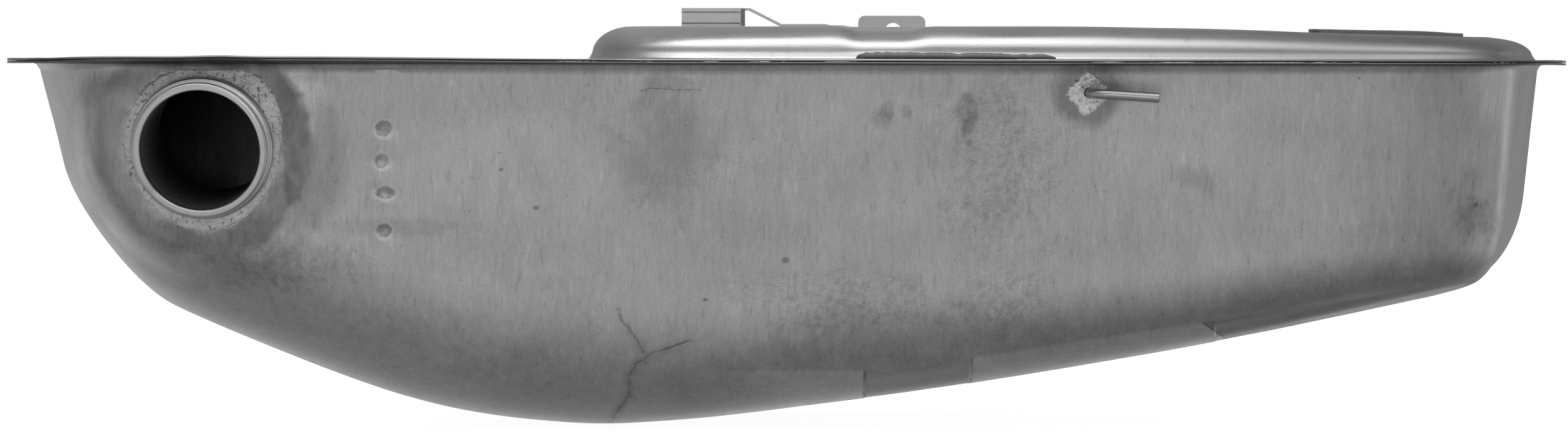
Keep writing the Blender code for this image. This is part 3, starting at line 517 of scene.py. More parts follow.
def make_upper_shell():
    """Flange, flat plate, raised tray and sender recess, as rays out of the sender's axis."""
    rim = full_outline(rounded_half(WALL_LEFT, WALL_RIGHT, WIDTH / 2 - OVERHANG_SIDE, 1400))
    shares = [k / (FLANGE_ROWS - 1) for k in range(FLANGE_ROWS)]
    flange = [polar_table([across_flange(point, normal, share) for point, normal in rim]) for share in shares]
    sides, foot_table = side_outlines(), tray_outline(-TRAY_FOOT)
    sender = Vector((SENDER_X, SENDER_Y))
    columns = []
    for angle in shared_angles([flange[0], sides[0][0]]):
        column = []
        for share, table in zip(shares, flange):
            at = on_outline(table, angle)
            z = PLATE_TOP + flange_sag(at.x, at.y, 1 - share) - seam_weld(share, angle, 0.0085)
            column.append(put(at.x, at.y, z))
        outer, foot = on_outline(flange[-1], angle), on_outline(foot_table, angle)
        inner = foot if (outer - sender).length >= (foot - sender).length else outer
        for k in range(1, PLATE_ROWS + 1):
            at = outer + (inner - outer) * k / PLATE_ROWS
            blend_in = ramp((outer - inner).length * k / PLATE_ROWS, 0.0, 0.01)
            column.append(put(at.x, at.y, PLATE_TOP + (plate_skin(at.x, at.y) - PLATE_TOP) * blend_in))
        base = on_outline(sides[0][0], angle)
        for out, up in TRAY_COVE:
            at = base + (foot - base) * (out / TRAY_FOOT)
            column.append(put(at.x, at.y, PLATE_TOP + up * (tray_top(at.x) - PLATE_TOP) / TRAY_HEIGHT))
        for k in range(COVE_ROWS, SIDE_ROWS + 1):
            table, rise = sides[k]
            at = on_outline(table, angle)
            lift = rise * (0.93 + 0.07 * k / SIDE_ROWS)
            column.append(put(at.x, at.y, PLATE_TOP + (tray_skin(at.x, at.y) - PLATE_TOP) * lift))
        edge = on_outline(sides[-1][0], angle)
        way = Vector((math.cos(angle), math.sin(angle)))
        dish = sender + way * (RECESS_RADIUS + 0.002)
        for k in range(1, TOP_ROWS + 1):
            at = edge + (dish - edge) * k / TOP_ROWS
            column.append(put(at.x, at.y, tray_skin(at.x, at.y)))
        for radius, z in recess_profile(RECESS_RADIUS + 0.002, tray_skin(dish.x, dish.y)):
            column.append(Vector((SENDER_X + radius * way.x, SENDER_Y + radius * way.y, z)))
        columns.append(column)
    shell = thicken(loft("upper_shell_drawn", columns), 1)
    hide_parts("upper_shell")
    return shell


def surface_of(obj):
    """A search tree on the shell's drawn face, for pieces that lie on it."""
    return BVHTree.FromPolygons([v.co for v in obj.data.vertices],
                                [p.vertices[:] for p in obj.data.polygons])


# --- neck, vent and solder -----------------------------------------------------------------

def make_filler_neck():
    """The neck tube with its rolled bead and lip."""
    bore, tube = NECK_BORE, NECK_TUBE
    outer = [(bore + 0.0006, 0.0100)] + arc(0.0313, 0.0086, 0.0014, 90, -80, 10)
    outer += arc(0.0318, 0.0062, 0.0011, 120, 235, 6)
    outer += arc(0.0325, 0.0030, 0.0020, 95, -70, 12) + [(0.0312, 0.0009), (tube, 0.0004)]
    inner = [(tube, -0.010), (tube, -NECK_DEPTH + 0.0004), (tube - 0.0004, -NECK_DEPTH),
             (bore + 0.0002, -NECK_DEPTH), (bore, -NECK_DEPTH + 0.0004), (bore, -0.020),
             (bore, 0.0040), (bore + 0.0004, 0.0046), (bore, 0.0054), (bore, 0.0088),
             (bore + 0.0002, 0.0096)]
    neck = spun("filler_neck_turned", outer + inner, axis_frame(NECK_CENTRE, NECK_AXIS), 160)
    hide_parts("filler_neck")
    return neck


def make_solder(name, node, centre, axis, inner, reach, lobes, height, top_limit, surface, seed):
    """Hand-run solder: a ragged, granular collar on the wall; lobes are (degrees, extra reach)."""
    matrix = axis_frame(centre, axis)
    around, across = 400, 34
    columns = []
    for i in range(around):
        angle = 2 * math.pi * i / around
        out = Vector((math.cos(angle), math.sin(angle), 0))
        way = matrix.to_3x3() @ out
        low = noise.noise(out * 1.3 + Vector((0, 0, seed)))
        ragged = noise.fractal(out * 7.0 + Vector((0, 0, seed + 5)), 0.45, 2.1, 6)
        limit = inner + (reach - inner) * (1 + 0.28 * low) + 0.0011 * ragged
        for degrees, extra in lobes:
            turn = (angle - math.radians(degrees) + math.pi) % (2 * math.pi) - math.pi
            limit += extra * math.exp(-(turn / 0.55) ** 2)
        if way.z > 0.05:
            limit = min(limit, (top_limit - centre.z + 0.0006 * ragged) / way.z)
        limit = max(limit, inner + 0.0015)
        column = []
        for k in range(across + 1):
            t = k / across
            radius = inner + (limit - inner) * t
            above = centre + way * radius + axis * 0.03 + SHIFT
            hit = surface.ray_cast(above, -axis)[0]
            base = (hit - SHIFT) if hit else centre + way * radius
            flat = centre + way * radius
            lump = noise.fractal(flat * 300 + Vector((seed, 0, 0)), 0.8, 2.2, 5)
            grit = noise.noise(flat * 1500) * 0.00014
            brim = 0.0007 * math.exp(-((t - 0.84) / 0.09) ** 2) * (0.6 + ragged)
            rise = height * (1 - t) ** 1.8 + brim + (0.0005 + 0.00050 * lump + grit) * (1 - t ** 7)
            column.append(base + axis * (max(rise, 0.00010) if k < across else -0.0003))
        column.insert(0, centre + way * (inner - 0.0006) + axis * -0.0002)
        columns.append(column)
    collar = loft(name, columns, sharp=60)
    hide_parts(node)
    return collar


def pipe(name, points, radius, wall, bore_depth):
    """A round tube along a path; its far end is rolled in to a short bore."""
    sides, shut = 32, 1e-5
    frames = []
    across = None
    for i, at in enumerate(points):
        along = (points[min(i + 1, len(points) - 1)] - points[max(i - 1, 0)]).normalized()
        across = along.orthogonal().normalized() if across is None else across - along * across.dot(along)
        across.normalize()
        frames.append((at, along, across.copy()))
    at, along, across = frames[-1]
    deep = at - along * bore_depth
    rows = [(*frames[0], shut)] + [(*frame, radius) for frame in frames]
    rows += [(at + along * 0.0001, along, across, radius - 0.0002), (at, along, across, radius - wall),
             (deep, along, across, radius - wall), (deep, along, across, shut)]
    columns = []
    for k in range(sides):
        c, s = math.cos(2 * math.pi * k / sides), math.sin(2 * math.pi * k / sides)
        columns.append([p + (side * c + way.cross(side) * s) * r for p, way, side, r in rows])
    return loft(name, columns)


def smooth_path(points, steps=8):
    """A Catmull-Rom curve through the points."""
    knots = [Vector(p) for p in points]
    knots = [2 * knots[0] - knots[1]] + knots + [2 * knots[-1] - knots[-2]]
    path = []
    for i in range(1, len(knots) - 2):
        a, b, c, d = knots[i - 1:i + 3]
        for k in range(steps):
            t = k / steps
            path.append(0.5 * (2 * b + (c - a) * t + (2 * a - 5 * b + 4 * c - d) * t * t
                               + (3 * b - a - 3 * c + d) * t ** 3))
    return path + [knots[-2]]


def make_vent():
    """The bent vent tube, run straight on past its last point."""
    end = Vector(VENT_PATH[-1])
    way = (end - Vector(VENT_PATH[-2])).normalized()
    path = smooth_path(VENT_PATH) + [end + way * 0.0040]
    tube = pipe("vent_tube_bent", path, VENT_RADIUS, VENT_WALL, VENT_BORE_DEPTH)
    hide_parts("vent_tube")
    return tube


def make_flange_strip():
    """A thin, rough strip stuck along the flange: rounded ends and an uneven back."""
    lengthwise, sides, round_from = 150, 20, 0.86
    columns = [[] for _ in range(sides)]
    for i in range(lengthwise + 1):
        u = i / lengthwise
        x = STRIP_LEFT + (STRIP_RIGHT - STRIP_LEFT) * u
        past = max(0.0, abs(2 * u - 1) - round_from) / (1 - round_from)
        end = math.sqrt(max(0.0, 1 - past * past))
        ragged = 1 + 0.18 * noise.fractal(Vector((x * 260, 0.3, 0.9)), 1.0, 2.2, 4)
        height = (0.0033 - 0.0012 * u) * max(0.12, end) * ragged
        for k in range(sides):
            c, s = math.cos(2 * math.pi * k / sides), math.sin(2 * math.pi * k / sides)
            across = (abs(c) ** 0.5) * (1 if c > 0 else -1) * max(0.02, end)
            upward = 0.5 + 0.5 * (abs(s) ** 0.6) * (1 if s > 0 else -1)
            y = (STRIP_FRONT + STRIP_BACK) / 2 + across * (STRIP_BACK - STRIP_FRONT) / 2 * (1 + 0.03 * ragged)
            columns[k].append(Vector((x, y, PLATE_TOP + GAP + height * upward)))
    strip = loft("flange_strip_rough", columns, sharp=60)
    fill_ends(strip, sides)
    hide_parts("flange_strip")
    return strip


def make_support_plate():
    """A bent plate lying on the tray, thick enough at its edges to close on the sheet below."""
    steps, rim = 12, 0.0003
    high = tray_top(PLATE_LEFT) + GAP + PLATE_THICK
    ends = ((PLATE_LEFT, high), (PLATE_BEND, high - 0.0009),
            (PLATE_RIGHT, tray_top(PLATE_RIGHT) + GAP + PLATE_THICK))
    sections = []
    for (x0, z0), (x1, z1) in zip(ends, ends[1:]):
        for k in range(1 if sections else 0, steps + 1):
            x, z = x0 + (x1 - x0) * k / steps, z0 + (z1 - z0) * k / steps
            z += 0.00012 * noise.noise(Vector((x * 150, 0.5, 0.5)))
            low = tray_top(x) - rim
            outline = ((PLATE_FRONT, low), (PLATE_FRONT, z - rim), (PLATE_FRONT + rim, z),
                       (PLATE_BACK - rim, z), (PLATE_BACK, z - rim), (PLATE_BACK, low))
            sections.append([Vector((x, y, at)) for y, at in outline])
    plate = loft("support_plate_bent", [list(row) for row in zip(*sections)], sharp=30)
    fill_ends(plate, 8)
    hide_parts("support_plate")
    return plate


def make_clip_details():
    """Two pressed ribs along the clip's face and the dark lap at its right edge, as thin strips whose dark
    colour is painted shade.
    """
    depth, made = 0.0006, []
    for name, left, right, low, high in (("clip_rib", -0.0498, -0.0216, 0.2017, 0.2022),
                                         ("clip_rib", -0.0498, -0.0216, 0.1962, 0.1968),
                                         ("clip_lap", -0.0211, -0.0192, 0.1953, 0.2036)):
        bm = bmesh.new()
        bmesh.ops.create_cube(bm, size=1)
        place_at = Vector(((left + right) / 2, -0.0751, (low + high) / 2)) + SHIFT
        bm.transform(Matrix.Translation(place_at) @ Matrix.Diagonal((right - left, depth, high - low, 1)))
        bmesh.ops.bevel(bm, geom=bm.edges[:], offset=0.0001, segments=2, affect="EDGES")
        piece = finish_mesh(name, bm)
        made.append(piece)
    return made


def make_sender_plate():
    """The sender's cover: a pressed disc with a raised middle."""
    low = 0.0036
    top = [(0.0001, low + 0.0016), (0.0185, low + 0.0016), (0.0200, low + 0.0012),
           (0.0215, low + 0.0010), (0.0340, low + 0.0010), (0.0344, low + 0.0007)]
    under = [(0.0344, low + 0.0003), (0.0340, low), (0.0215, low), (0.0195, low + 0.0006),
             (0.0001, low + 0.0006)]
    matrix = Matrix.Translation((SENDER_X, SENDER_Y, SENDER_Z))
    plate = spun("sender_cover", top + under, matrix, 96)
    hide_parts("sender_flange")
    return plate


# --- materials -----------------------------------------------------------------------------

class Nodes:
    """Adds nodes to a tree and joins them up."""

    def __init__(self, tree):
        self.tree = tree

    def add(self, kind, **settings):
        made = self.tree.nodes.new(kind)
        for key, value in settings.items():
            setattr(made, key, value)
        return made

    def feed(self, socket, value):
        if isinstance(value, bpy.types.NodeSocket):
            self.tree.links.new(value, socket)
        else:
            socket.default_value = value

    def fill(self, node, values):
        for name, value in values.items():
            self.feed(node.inputs[name], value)
        return node


class Finish(Nodes):
    """One material; every texture is fixed to the object's own space."""

    def __init__(self, name, metallic, roughness):
        self.material = bpy.data.materials.new(name)
        self.material.use_nodes = True
        super().__init__(self.material.node_tree)
        self.shader = self.tree.nodes["Principled BSDF"]
        self.fill(self.shader, {"Metallic": metallic, "Roughness": roughness})
        self.place = self.add("ShaderNodeTexCoord").outputs["Object"]
        parts = self.add("ShaderNodeSeparateXYZ")
        self.feed(parts.inputs[0], self.place)
        self.x, self.y, self.z = parts.outputs

    def math(self, operation, a, b=0.0, clamp=False):
        made = self.add("ShaderNodeMath", operation=operation, use_clamp=clamp)
        self.feed(made.inputs[0], a)
        self.feed(made.inputs[1], b)
        return made.outputs[0]

    def vector(self, operation, a, b=(0, 0, 0), out=0):
        made = self.add("ShaderNodeVectorMath", operation=operation)
        self.feed(made.inputs[0], a)
        self.feed(made.inputs[1], b)
        return made.outputs[out]

    def scale(self, vector, by):
        made = self.add("ShaderNodeVectorMath", operation="SCALE")
        self.feed(made.inputs[0], vector)
        self.feed(made.inputs["Scale"], by)
        return made.outputs[0]

    def noise(self, stretch, detail=4.0, roughness=0.55, warp=0.0, out=0):
        made = self.add("ShaderNodeTexNoise")
        self.fill(made, {"Vector": self.vector("MULTIPLY", self.place, stretch), "Scale": 1.0,
                         "Detail": detail, "Roughness": roughness, "Distortion": warp})
        return made.outputs[out]

    def span(self, value, low, high, out_low=0.0, out_high=1.0):
        made = self.add("ShaderNodeMapRange", interpolation_type="SMOOTHSTEP")
        self.fill(made, {"Value": value, "From Min": low, "From Max": high,
                         "To Min": out_low, "To Max": out_high})
        return made.outputs[0]

    def plus(self, *values, clamp=False):
        total, *others, last = values
        for value in others:
            total = self.math("ADD", total, value)
        return self.math("ADD", total, last, clamp)

    def minus(self, a, b):
        return self.math("SUBTRACT", a, b)

    def times(self, *values):
        total = values[0]
        for value in values[1:]:
            total = self.math("MULTIPLY", total, value)
        return total

    def larger(self, a, b):
        return self.math("MAXIMUM", a, b)

    def less(self, value, amount=1.0):
        """1 less an amount of the value: a multiplier that darkens."""
        return self.minus(1.0, value if amount == 1.0 else self.times(value, amount))

    def centred(self, value, amount):
        """A 0 to 1 value moved to swing round 0."""
        return self.times(self.minus(value, 0.5), amount)

    def swing(self, value, amount):
        """A multiplier round 1 from a 0 to 1 value."""
        return self.plus(self.centred(value, amount), 1.0)

    def wander(self, stretch, reach):
        """A small shift of place that makes marks uneven."""
        cloud = self.noise(stretch, 3.0, 0.5, out=1)
        return self.scale(self.vector("SUBTRACT", cloud, (0.5, 0.5, 0.5)), reach)

    def flange_edge_shade(self, above, below=1.0, dark=0.30):
        """Painted shade along the flange's cut edge, between two heights."""
        low, high = above + SHIFT.z, below + SHIFT.z
        return self.less(self.times(self.span(self.z, low, low + 0.0003),
                                    self.span(self.z, high, high - 0.0002)), 1 - dark)

    def mark(self, x, z, wide, high, place=None):
        """Distance from a mark on the near wall, measured in its own half width and height."""
        return self.near_point((x + SHIFT.x, 0, z + SHIFT.z), (wide, 1e3, high), place)

    def near_point(self, centre, radii, place=None):
        """Distance from a centre, measured in the given radii."""
        offset = self.vector("SUBTRACT", place or self.place, tuple(centre))
        return self.vector("LENGTH", self.vector("DIVIDE", offset, radii), out=1)

    def off_axis(self, centre, axis):
        """Distance from the line through centre along axis."""
        offset = self.vector("SUBTRACT", self.place, tuple(centre))
        return self.vector("LENGTH", self.vector("CROSS_PRODUCT", offset, tuple(axis)), out=1)

    def near_line(self, place, start, end):
        """Distance from a straight stretch in X and Z."""
        along = end - start
        offset = self.vector("SUBTRACT", place, tuple(start))
        share = self.math("DIVIDE", self.vector("DOT_PRODUCT", offset, tuple(along), out=1),
                          along.length_squared, clamp=True)
        return self.vector("LENGTH", self.vector("SUBTRACT", offset, self.scale(tuple(along), share)), out=1)

    def finish(self, tone, roughness, height, strength, tint=(1, 1, 1)):
        """Join the worked-out tone, roughness and relief to the shader."""
        bump = self.add("ShaderNodeBump")
        self.fill(bump, {"Distance": 0.001, "Strength": strength, "Height": height})
        self.fill(self.shader, {"Base Color": self.scale(tint, tone), "Roughness": roughness,
                                "Normal": bump.outputs[0]})
        return self.material


def plain_steel(name, tone, rough, streak=0.25, cloud=0.35, grain=0.25, bump=0.12, tint=(1, 1, 1),
                stretch=(240, 240, 9), shaded_edge=None, painted_shade_spans=(), bore=None):
    """Drawn or rolled sheet: directional lines, cloudy oxide and fine grain.

    Each painted shade span is (x where it starts, x where it is full, darker by, rougher by): it darkens the
    colour along x and adds roughness; bore is the (centre, axis) of a tube whose inside gets painted shade.
    """
    f = Finish(name, 1.0, rough)
    lines = f.noise(stretch, 4, 0.65)
    clouds = f.noise((16, 16, 16), 6, 0.62, 0.6)
    fine = f.noise((1300, 1300, 1300), 2)
    spots = f.span(f.noise((95, 95, 95), 4, 0.6), 0.60, 0.74)
    shade = f.times(tone, f.swing(lines, streak), f.swing(clouds, cloud), f.swing(fine, grain),
                    f.less(spots, 0.16), f.flange_edge_shade(*shaded_edge) if shaded_edge else 1.0)
    # Painted shade: the colour darkens from start to full, and the roughness rises with it.
    for start, full, darker, rougher in painted_shade_spans:
        mask = f.span(f.x, start, full)
        shade = f.times(shade, f.less(mask, darker))
        rough = f.plus(rough, f.times(mask, rougher))
    # Painted shade inside the neck's bore: the colour there drops to a tenth and Metallic falls to a quarter.
    if bore:
        out_of_bore = f.span(f.off_axis(*bore), NECK_BORE + 0.0001, NECK_BORE + 0.0004)
        shade = f.times(shade, f.plus(0.10, f.times(out_of_bore, 0.90)))
        f.feed(f.shader.inputs["Metallic"], f.plus(0.25, f.times(out_of_bore, 0.75)))
    dull = f.plus(f.centred(clouds, 0.35), f.plus(rough, f.centred(lines, 0.20)), clamp=True)
    height = f.plus(f.times(lines, 0.5), f.times(fine, 0.35))
    return f.finish(shade, dull, height, bump, tint)


def strap_panels(f, near_side):
    """Painted light on the flats beside and between the strap channels, and painted shade along each
    channel's edge and inside the channels.
    """
    x, z = f.minus(f.x, SHIFT.x), f.minus(f.z, SHIFT.z)
    (first, second, _), (third, *_) = STRAP_CHANNELS
    rising = f.plus(0.0364 - PANEL_SLOPE * second, f.times(x, PANEL_SLOPE))
    below = f.span(f.minus(z, f.larger(0.0300, rising)), 0.0012, -0.0010)
    slant = f.plus(x, f.times(f.minus(z, 0.0448), CHANNEL_SLANT))
    left = f.times(f.span(x, -0.050, 0.010), f.span(x, first + 0.0003, first - 0.0003))
    middle = f.times(f.span(x, second - 0.0003, second + 0.0003),
                     f.span(slant, third + 0.0006, third - 0.0006))
    lines = 0.0
    for across, at in ((x, first), (x, second), (slant, third)):
        lines = f.larger(lines, f.span(f.math("ABSOLUTE", f.minus(across, at)), 0.0011, 0.0002))
    in_channel = f.times(f.span(x, first, first + 0.0006), f.span(x, second, second - 0.0006))
    past_third = f.span(slant, third - 0.0006, third + 0.0006)
    dark = f.plus(f.times(lines, 0.42), f.times(past_third, 0.2419), f.times(in_channel, 0.1008))
    light = f.times(f.plus(left, middle), 0.26)
    return f.plus(1.0, f.times(f.minus(light, dark), below, near_side))


def crease_marks(f, near_side, worn, blotch):
    """The creases and scratches as a line mask, with a faint painted shade round them: the creases' dark
    lines are painted shade, the scratches are marks in the sheet.
    """
    flat_place = f.vector("MULTIPLY", f.vector("ADD", f.place, f.wander((160, 160, 160), 0.0034)), (1, 0, 1))
    lines, shade_round_lines = 0.0, 0.0
    for run, width in [(run, 0.0009) for run in CREASES] + [(run, 0.0004) for run in SCRATCHES]:
        knots = [Vector((x + SHIFT.x, 0, z + SHIFT.z)) for x, z in run]
        for start, end in zip(knots, knots[1:]):
            away = f.near_line(flat_place, start, end)
            lines = f.larger(lines, f.span(away, width, width * 0.25))
            shade_round_lines = f.larger(shade_round_lines, f.span(away, width * 4.5, width * 0.8))
    return (f.times(lines, near_side, f.plus(0.35, f.times(worn, 0.65))),
            f.times(shade_round_lines, near_side, f.plus(0.05, f.times(f.span(blotch, 0.35, 0.65), 0.15))))


def weld_marks(f, near_side, worn):
    """Dark spots where the baffles are welded on, each with a darker rim of painted shade and a painted
    highlight ring round its dimple, and loose dots.
    """
    shaken = f.vector("ADD", f.place, f.wander((300, 300, 300), 0.0024))
    smeared = f.vector("ADD", f.place, f.wander((230, 230, 130), 0.0090))
    spots, dimple_highlights = 0.0, 0.0
    for x, z, wide, high in BAFFLE_WELDS:
        d = f.mark(x, z, wide, high, shaken)
        inside = f.times(f.span(d, 1.08, 0.80), f.plus(0.12, f.times(worn, 0.26)))
        # Painted shade on the dimple's rim.
        edge = f.times(f.span(d, 0.75, 0.95), f.span(d, 1.15, 0.98), 0.20)
        spots = f.larger(spots, f.plus(inside, edge))
        # Painted highlight round the dimple.
        dimple_highlights = f.larger(dimple_highlights, f.times(f.span(d, 1.05, 1.25), f.span(d, 1.75, 1.35)))
    for x, z, size in FAINT_WELDS:
        d = f.mark(x, z, size, size * 1.15, smeared)
        spots = f.larger(spots, f.times(f.span(d, 1.35, 0.55), f.plus(0.07, f.times(worn, 0.20))))
    for x, z, size in DARK_DOTS:
        d = f.mark(x, z, size, size * 0.8, shaken)
        spots = f.larger(spots, f.times(f.span(d, 1.1, 0.5), 0.45))
    return f.times(spots, near_side), f.times(dimple_highlights, near_side)


def soft_areas(f, table, blotch):
    """The sum of cloudy-edged areas; a row's fifth value, if any, is how much it counts."""
    total = 0.0
    for x, z, wide, high, *change in table:
        soft = f.span(f.plus(f.mark(x, z, wide, high), f.centred(blotch, 1.9)), 1.25, 0.40)
        total = f.plus(total, f.times(soft, change[0] if change else 1.0))
    return total


def flux_halo(f, near_side):
    """The stain that soldering left round the filler neck, uneven at its rim."""
    radial = f.off_axis(NECK_CENTRE + SHIFT, NECK_AXIS)
    inner_edge = f.plus(radial, f.centred(f.noise((75, 75, 75), 6, 0.68), 0.024))
    outer_edge = f.plus(radial, f.centred(f.noise((30, 30, 30), 6, 0.66), 0.018))
    return f.times(f.span(inner_edge, 0.034, 0.043), f.span(outer_edge, 0.0570, 0.0505), near_side,
                   f.span(f.x, -0.345, -0.285, 0.50, 1.0))


def pan_steel():
    """The lower shell's sheet, with its drawing lines, flux stains, weld marks and creases, and painted light
    and shade on its strap channels, creases, weld dimples, right end and flange edge.
    """
    f = Finish("pan_steel_drawn", 1.0, 0.45)
    lines = f.noise((210, 210, 6), 5, 0.68)
    fine_lines = f.noise((900, 900, 14), 3, 0.6)
    clouds = f.noise((13, 13, 17), 7, 0.62, 0.5)
    blotch = f.noise((42, 42, 30), 6, 0.66, 0.8)
    fine = f.noise((1500, 1500, 1500), 2)
    worn = f.span(f.noise((240, 240, 240), 4, 0.6), 0.30, 0.62)
    near_side = f.span(f.y, -0.12, -0.16)
    halo = flux_halo(f, near_side)
    vent_edge = f.plus(f.near_point(VENT_AT + SHIFT, (0.020, 0.05, 0.017)), f.centred(blotch, 1.3))
    vent_halo = f.times(f.span(vent_edge, 1.15, 0.55), near_side)
    crease_shade_and_scratches, shade_round_lines = crease_marks(f, near_side, worn, blotch)
    spots, dimple_highlights = weld_marks(f, near_side, worn)
    patch_tone = f.plus(f.times(soft_areas(f, PATCHES, blotch), near_side), 1.0)
    pitted = f.times(f.math("MINIMUM", soft_areas(f, ROUGH_AREAS, blotch), 1.0), near_side)
    pits = f.noise((270, 270, 270), 5, 0.72)
    long_marks = f.noise((480, 480, 1.6), 2, 0.5)
    flecks = f.span(f.noise((480, 480, 400), 3, 0.6), 0.655, 0.72)
    # The weld dimples' rings add a painted highlight.
    lighter = f.plus(1.0, f.times(f.span(long_marks, 0.40, 0.28), 0.11), f.times(dimple_highlights, 0.15))
    darker = f.plus(f.times(f.span(long_marks, 0.60, 0.72), 0.13), f.times(flecks, 0.22))
    tone = f.times(PAN_TONE, f.swing(lines, 0.40), f.swing(fine_lines, 0.30), f.swing(clouds, 0.42),
                   f.swing(blotch, 0.30), f.swing(fine, 0.26), patch_tone, f.minus(lighter, darker),
                   f.less(f.times(pitted, f.span(pits, 0.42, 0.66), 0.20)),
                   f.less(f.times(halo, f.swing(f.span(blotch, 0.3, 0.7), 0.9), 0.42)),
                   # Painted shade along the creases and round them; the scratches are marks in the sheet.
                   f.less(vent_halo, 0.42), f.less(crease_shade_and_scratches, 0.36), f.less(shade_round_lines),
                   strap_panels(f, near_side),
                   # Painted shade: the right end wall is darker.
                   f.span(f.x, SHIFT.x + 0.336, SHIFT.x + 0.350, 1.0, 0.82),
                   # Painted shade on the lower flange's edge, from just below the wall's top upward.
                   f.less(spots), f.flange_edge_shade(WALL_TOP - 0.0004))
    rough = f.plus(0.40, f.centred(clouds, 0.35), f.times(halo, 0.16), f.centred(lines, 0.26), clamp=True)
    height = f.minus(f.plus(f.times(lines, 0.35), f.times(fine, 0.30), f.times(blotch, 0.30)),
                     f.plus(f.times(crease_shade_and_scratches, 0.7), f.times(pitted, pits, 0.9)))
    return f.finish(tone, rough, height, 0.18)


def solder_metal(name, brightness):
    """Dull, lumpy and pitted solder."""
    f = Finish(name, 0.80, 0.5)
    lumps = f.noise((330, 330, 330), 6, 0.72)
    pits = f.span(f.noise((620, 620, 620), 4, 0.6), 0.44, 0.30)
    clouds = f.noise((60, 60, 60), 5, 0.65)
    tone = f.times(brightness, f.swing(lumps, 0.60), f.swing(clouds, 0.90), f.less(pits, 0.60))
    rough = f.plus(0.46, f.centred(lumps, 0.5), clamp=True)
    return f.finish(tone, rough, f.minus(lumps, f.times(pits, 0.7)), 0.55)


def moulded(name, tint, rough, weave=0.0):
    """Plastic, rubber or filter cloth: fine grain, faint clouds and, for cloth, a weave."""
    f = Finish(name, 0.0, rough)
    grain = f.noise((1600, 1600, 1600), 2)
    clouds = f.noise((55, 55, 55), 4)
    height = grain
    tone = f.times(f.swing(grain, 0.20), f.swing(clouds, 0.30))
    if weave:
        height = f.larger(*(f.math("SINE", f.times(way, weave)) for way in (f.x, f.y)))
        tone = f.times(tone, f.swing(f.span(height, -0.2, 1.0), 0.5))
    return f.finish(tone, f.plus(rough, f.centred(clouds, 0.2), clamp=True), height, 0.25, tint)


def dress(obj, material):
    """Give the whole piece one material."""
    if obj.type == "MESH" and not obj.material_slots:
        obj.data.materials.append(material)
    for place in obj.material_slots:
        place.material = material


lower = make_lower_shell()
upper = make_upper_shell()
wall_tree = surface_of(lower)
neck = make_filler_neck()
neck_solder = make_solder("filler_neck_solder_run", "filler_neck_solder", NECK_CENTRE, NECK_AXIS,
                          inner=0.0343, reach=0.0382, lobes=((42, 0.0058), (-95, 0.0034), (150, 0.0014)),
                          height=0.0007, top_limit=0.1738, surface=wall_tree, seed=2.0)
vent = make_vent()
vent_solder = make_solder("vent_tube_solder_run", "vent_tube_solder", VENT_AT, Vector((0, -1, 0)),
                          inner=0.0026, reach=0.0080, lobes=((85, 0.0020), (-95, 0.0034), (180, 0.0030)),
                          height=0.0030, top_limit=0.1735, surface=wall_tree, seed=9.0)
strip = make_flange_strip()
cover = make_sender_plate()
plate = make_support_plate()
clip_details = make_clip_details()

BRASS = (1.0, 0.78, 0.42)
neck_finish = plain_steel("neck_steel_turned", 0.62, 0.30, 0.18, 0.35, 0.15, 0.08, stretch=(300, 300, 300),
                          bore=(NECK_CENTRE + SHIFT, NECK_AXIS))
vent_finish = plain_steel("vent_steel_drawn", 0.46, 0.36, 0.30, 0.60, 0.20, 0.12, stretch=(12, 260, 260))
worn_plate = plain_steel("clip_steel_worn", 0.52, 0.44, 0.40, 0.40, 0.25, 0.15, stretch=(12, 260, 260))
plated = plain_steel("bracket_steel_plated", 0.62, 0.34, 0.20, 0.35, 0.20, 0.10, stretch=(9, 240, 240))
inner_finish = plain_steel("inner_steel_sheet", 0.36, 0.50, 0.30, 0.45, 0.25)
brass_finish = plain_steel("brass_drawn", 0.66, 0.32, 0.12, 0.25, 0.10, 0.08, BRASS, (300, 300, 300))
dark_sheet = plain_steel("dark_strip_sheet", 0.24, 0.58, 0.30, 0.55, 0.40, 0.35, stretch=(60, 240, 240))
tray_finish = plain_steel("tray_steel_drawn", 0.55, 0.27, 0.26, 0.30, 0.20, 0.10, stretch=(9, 200, 200),
                          # Painted shade on the upper flange's edge faces, below the plate's top.
                          shaded_edge=(0.0, PLATE_TOP - 0.0001, 0.35),
                          # Painted shade that dims the tray's highlight towards its right part and at its
                          # left end.
                          painted_shade_spans=((0.08, 0.27, 0.42, 0.20), (-0.080, -0.098, 0.35, 0.10)))
black = moulded("dark_plastic_moulded", (0.045, 0.045, 0.048), 0.42)
rubber = moulded("gasket_rubber_sheet", (0.028, 0.028, 0.028), 0.78)
mesh_cloth = moulded("sock_mesh_weave", (0.60, 0.57, 0.48), 0.85, 9000.0)
solder_finish = solder_metal("soft_solder", 0.53)
vent_solder_finish = solder_metal("vent_solder", 0.84)

for piece, finish in ((lower, pan_steel()), (upper, tray_finish), (neck, neck_finish),
                      (neck_solder, solder_finish), (vent, vent_finish),
                      (vent_solder, vent_solder_finish), (cover, plated),
                      *((dark, dark_sheet) for dark in (strip, plate, *clip_details))):
    dress(piece, finish)

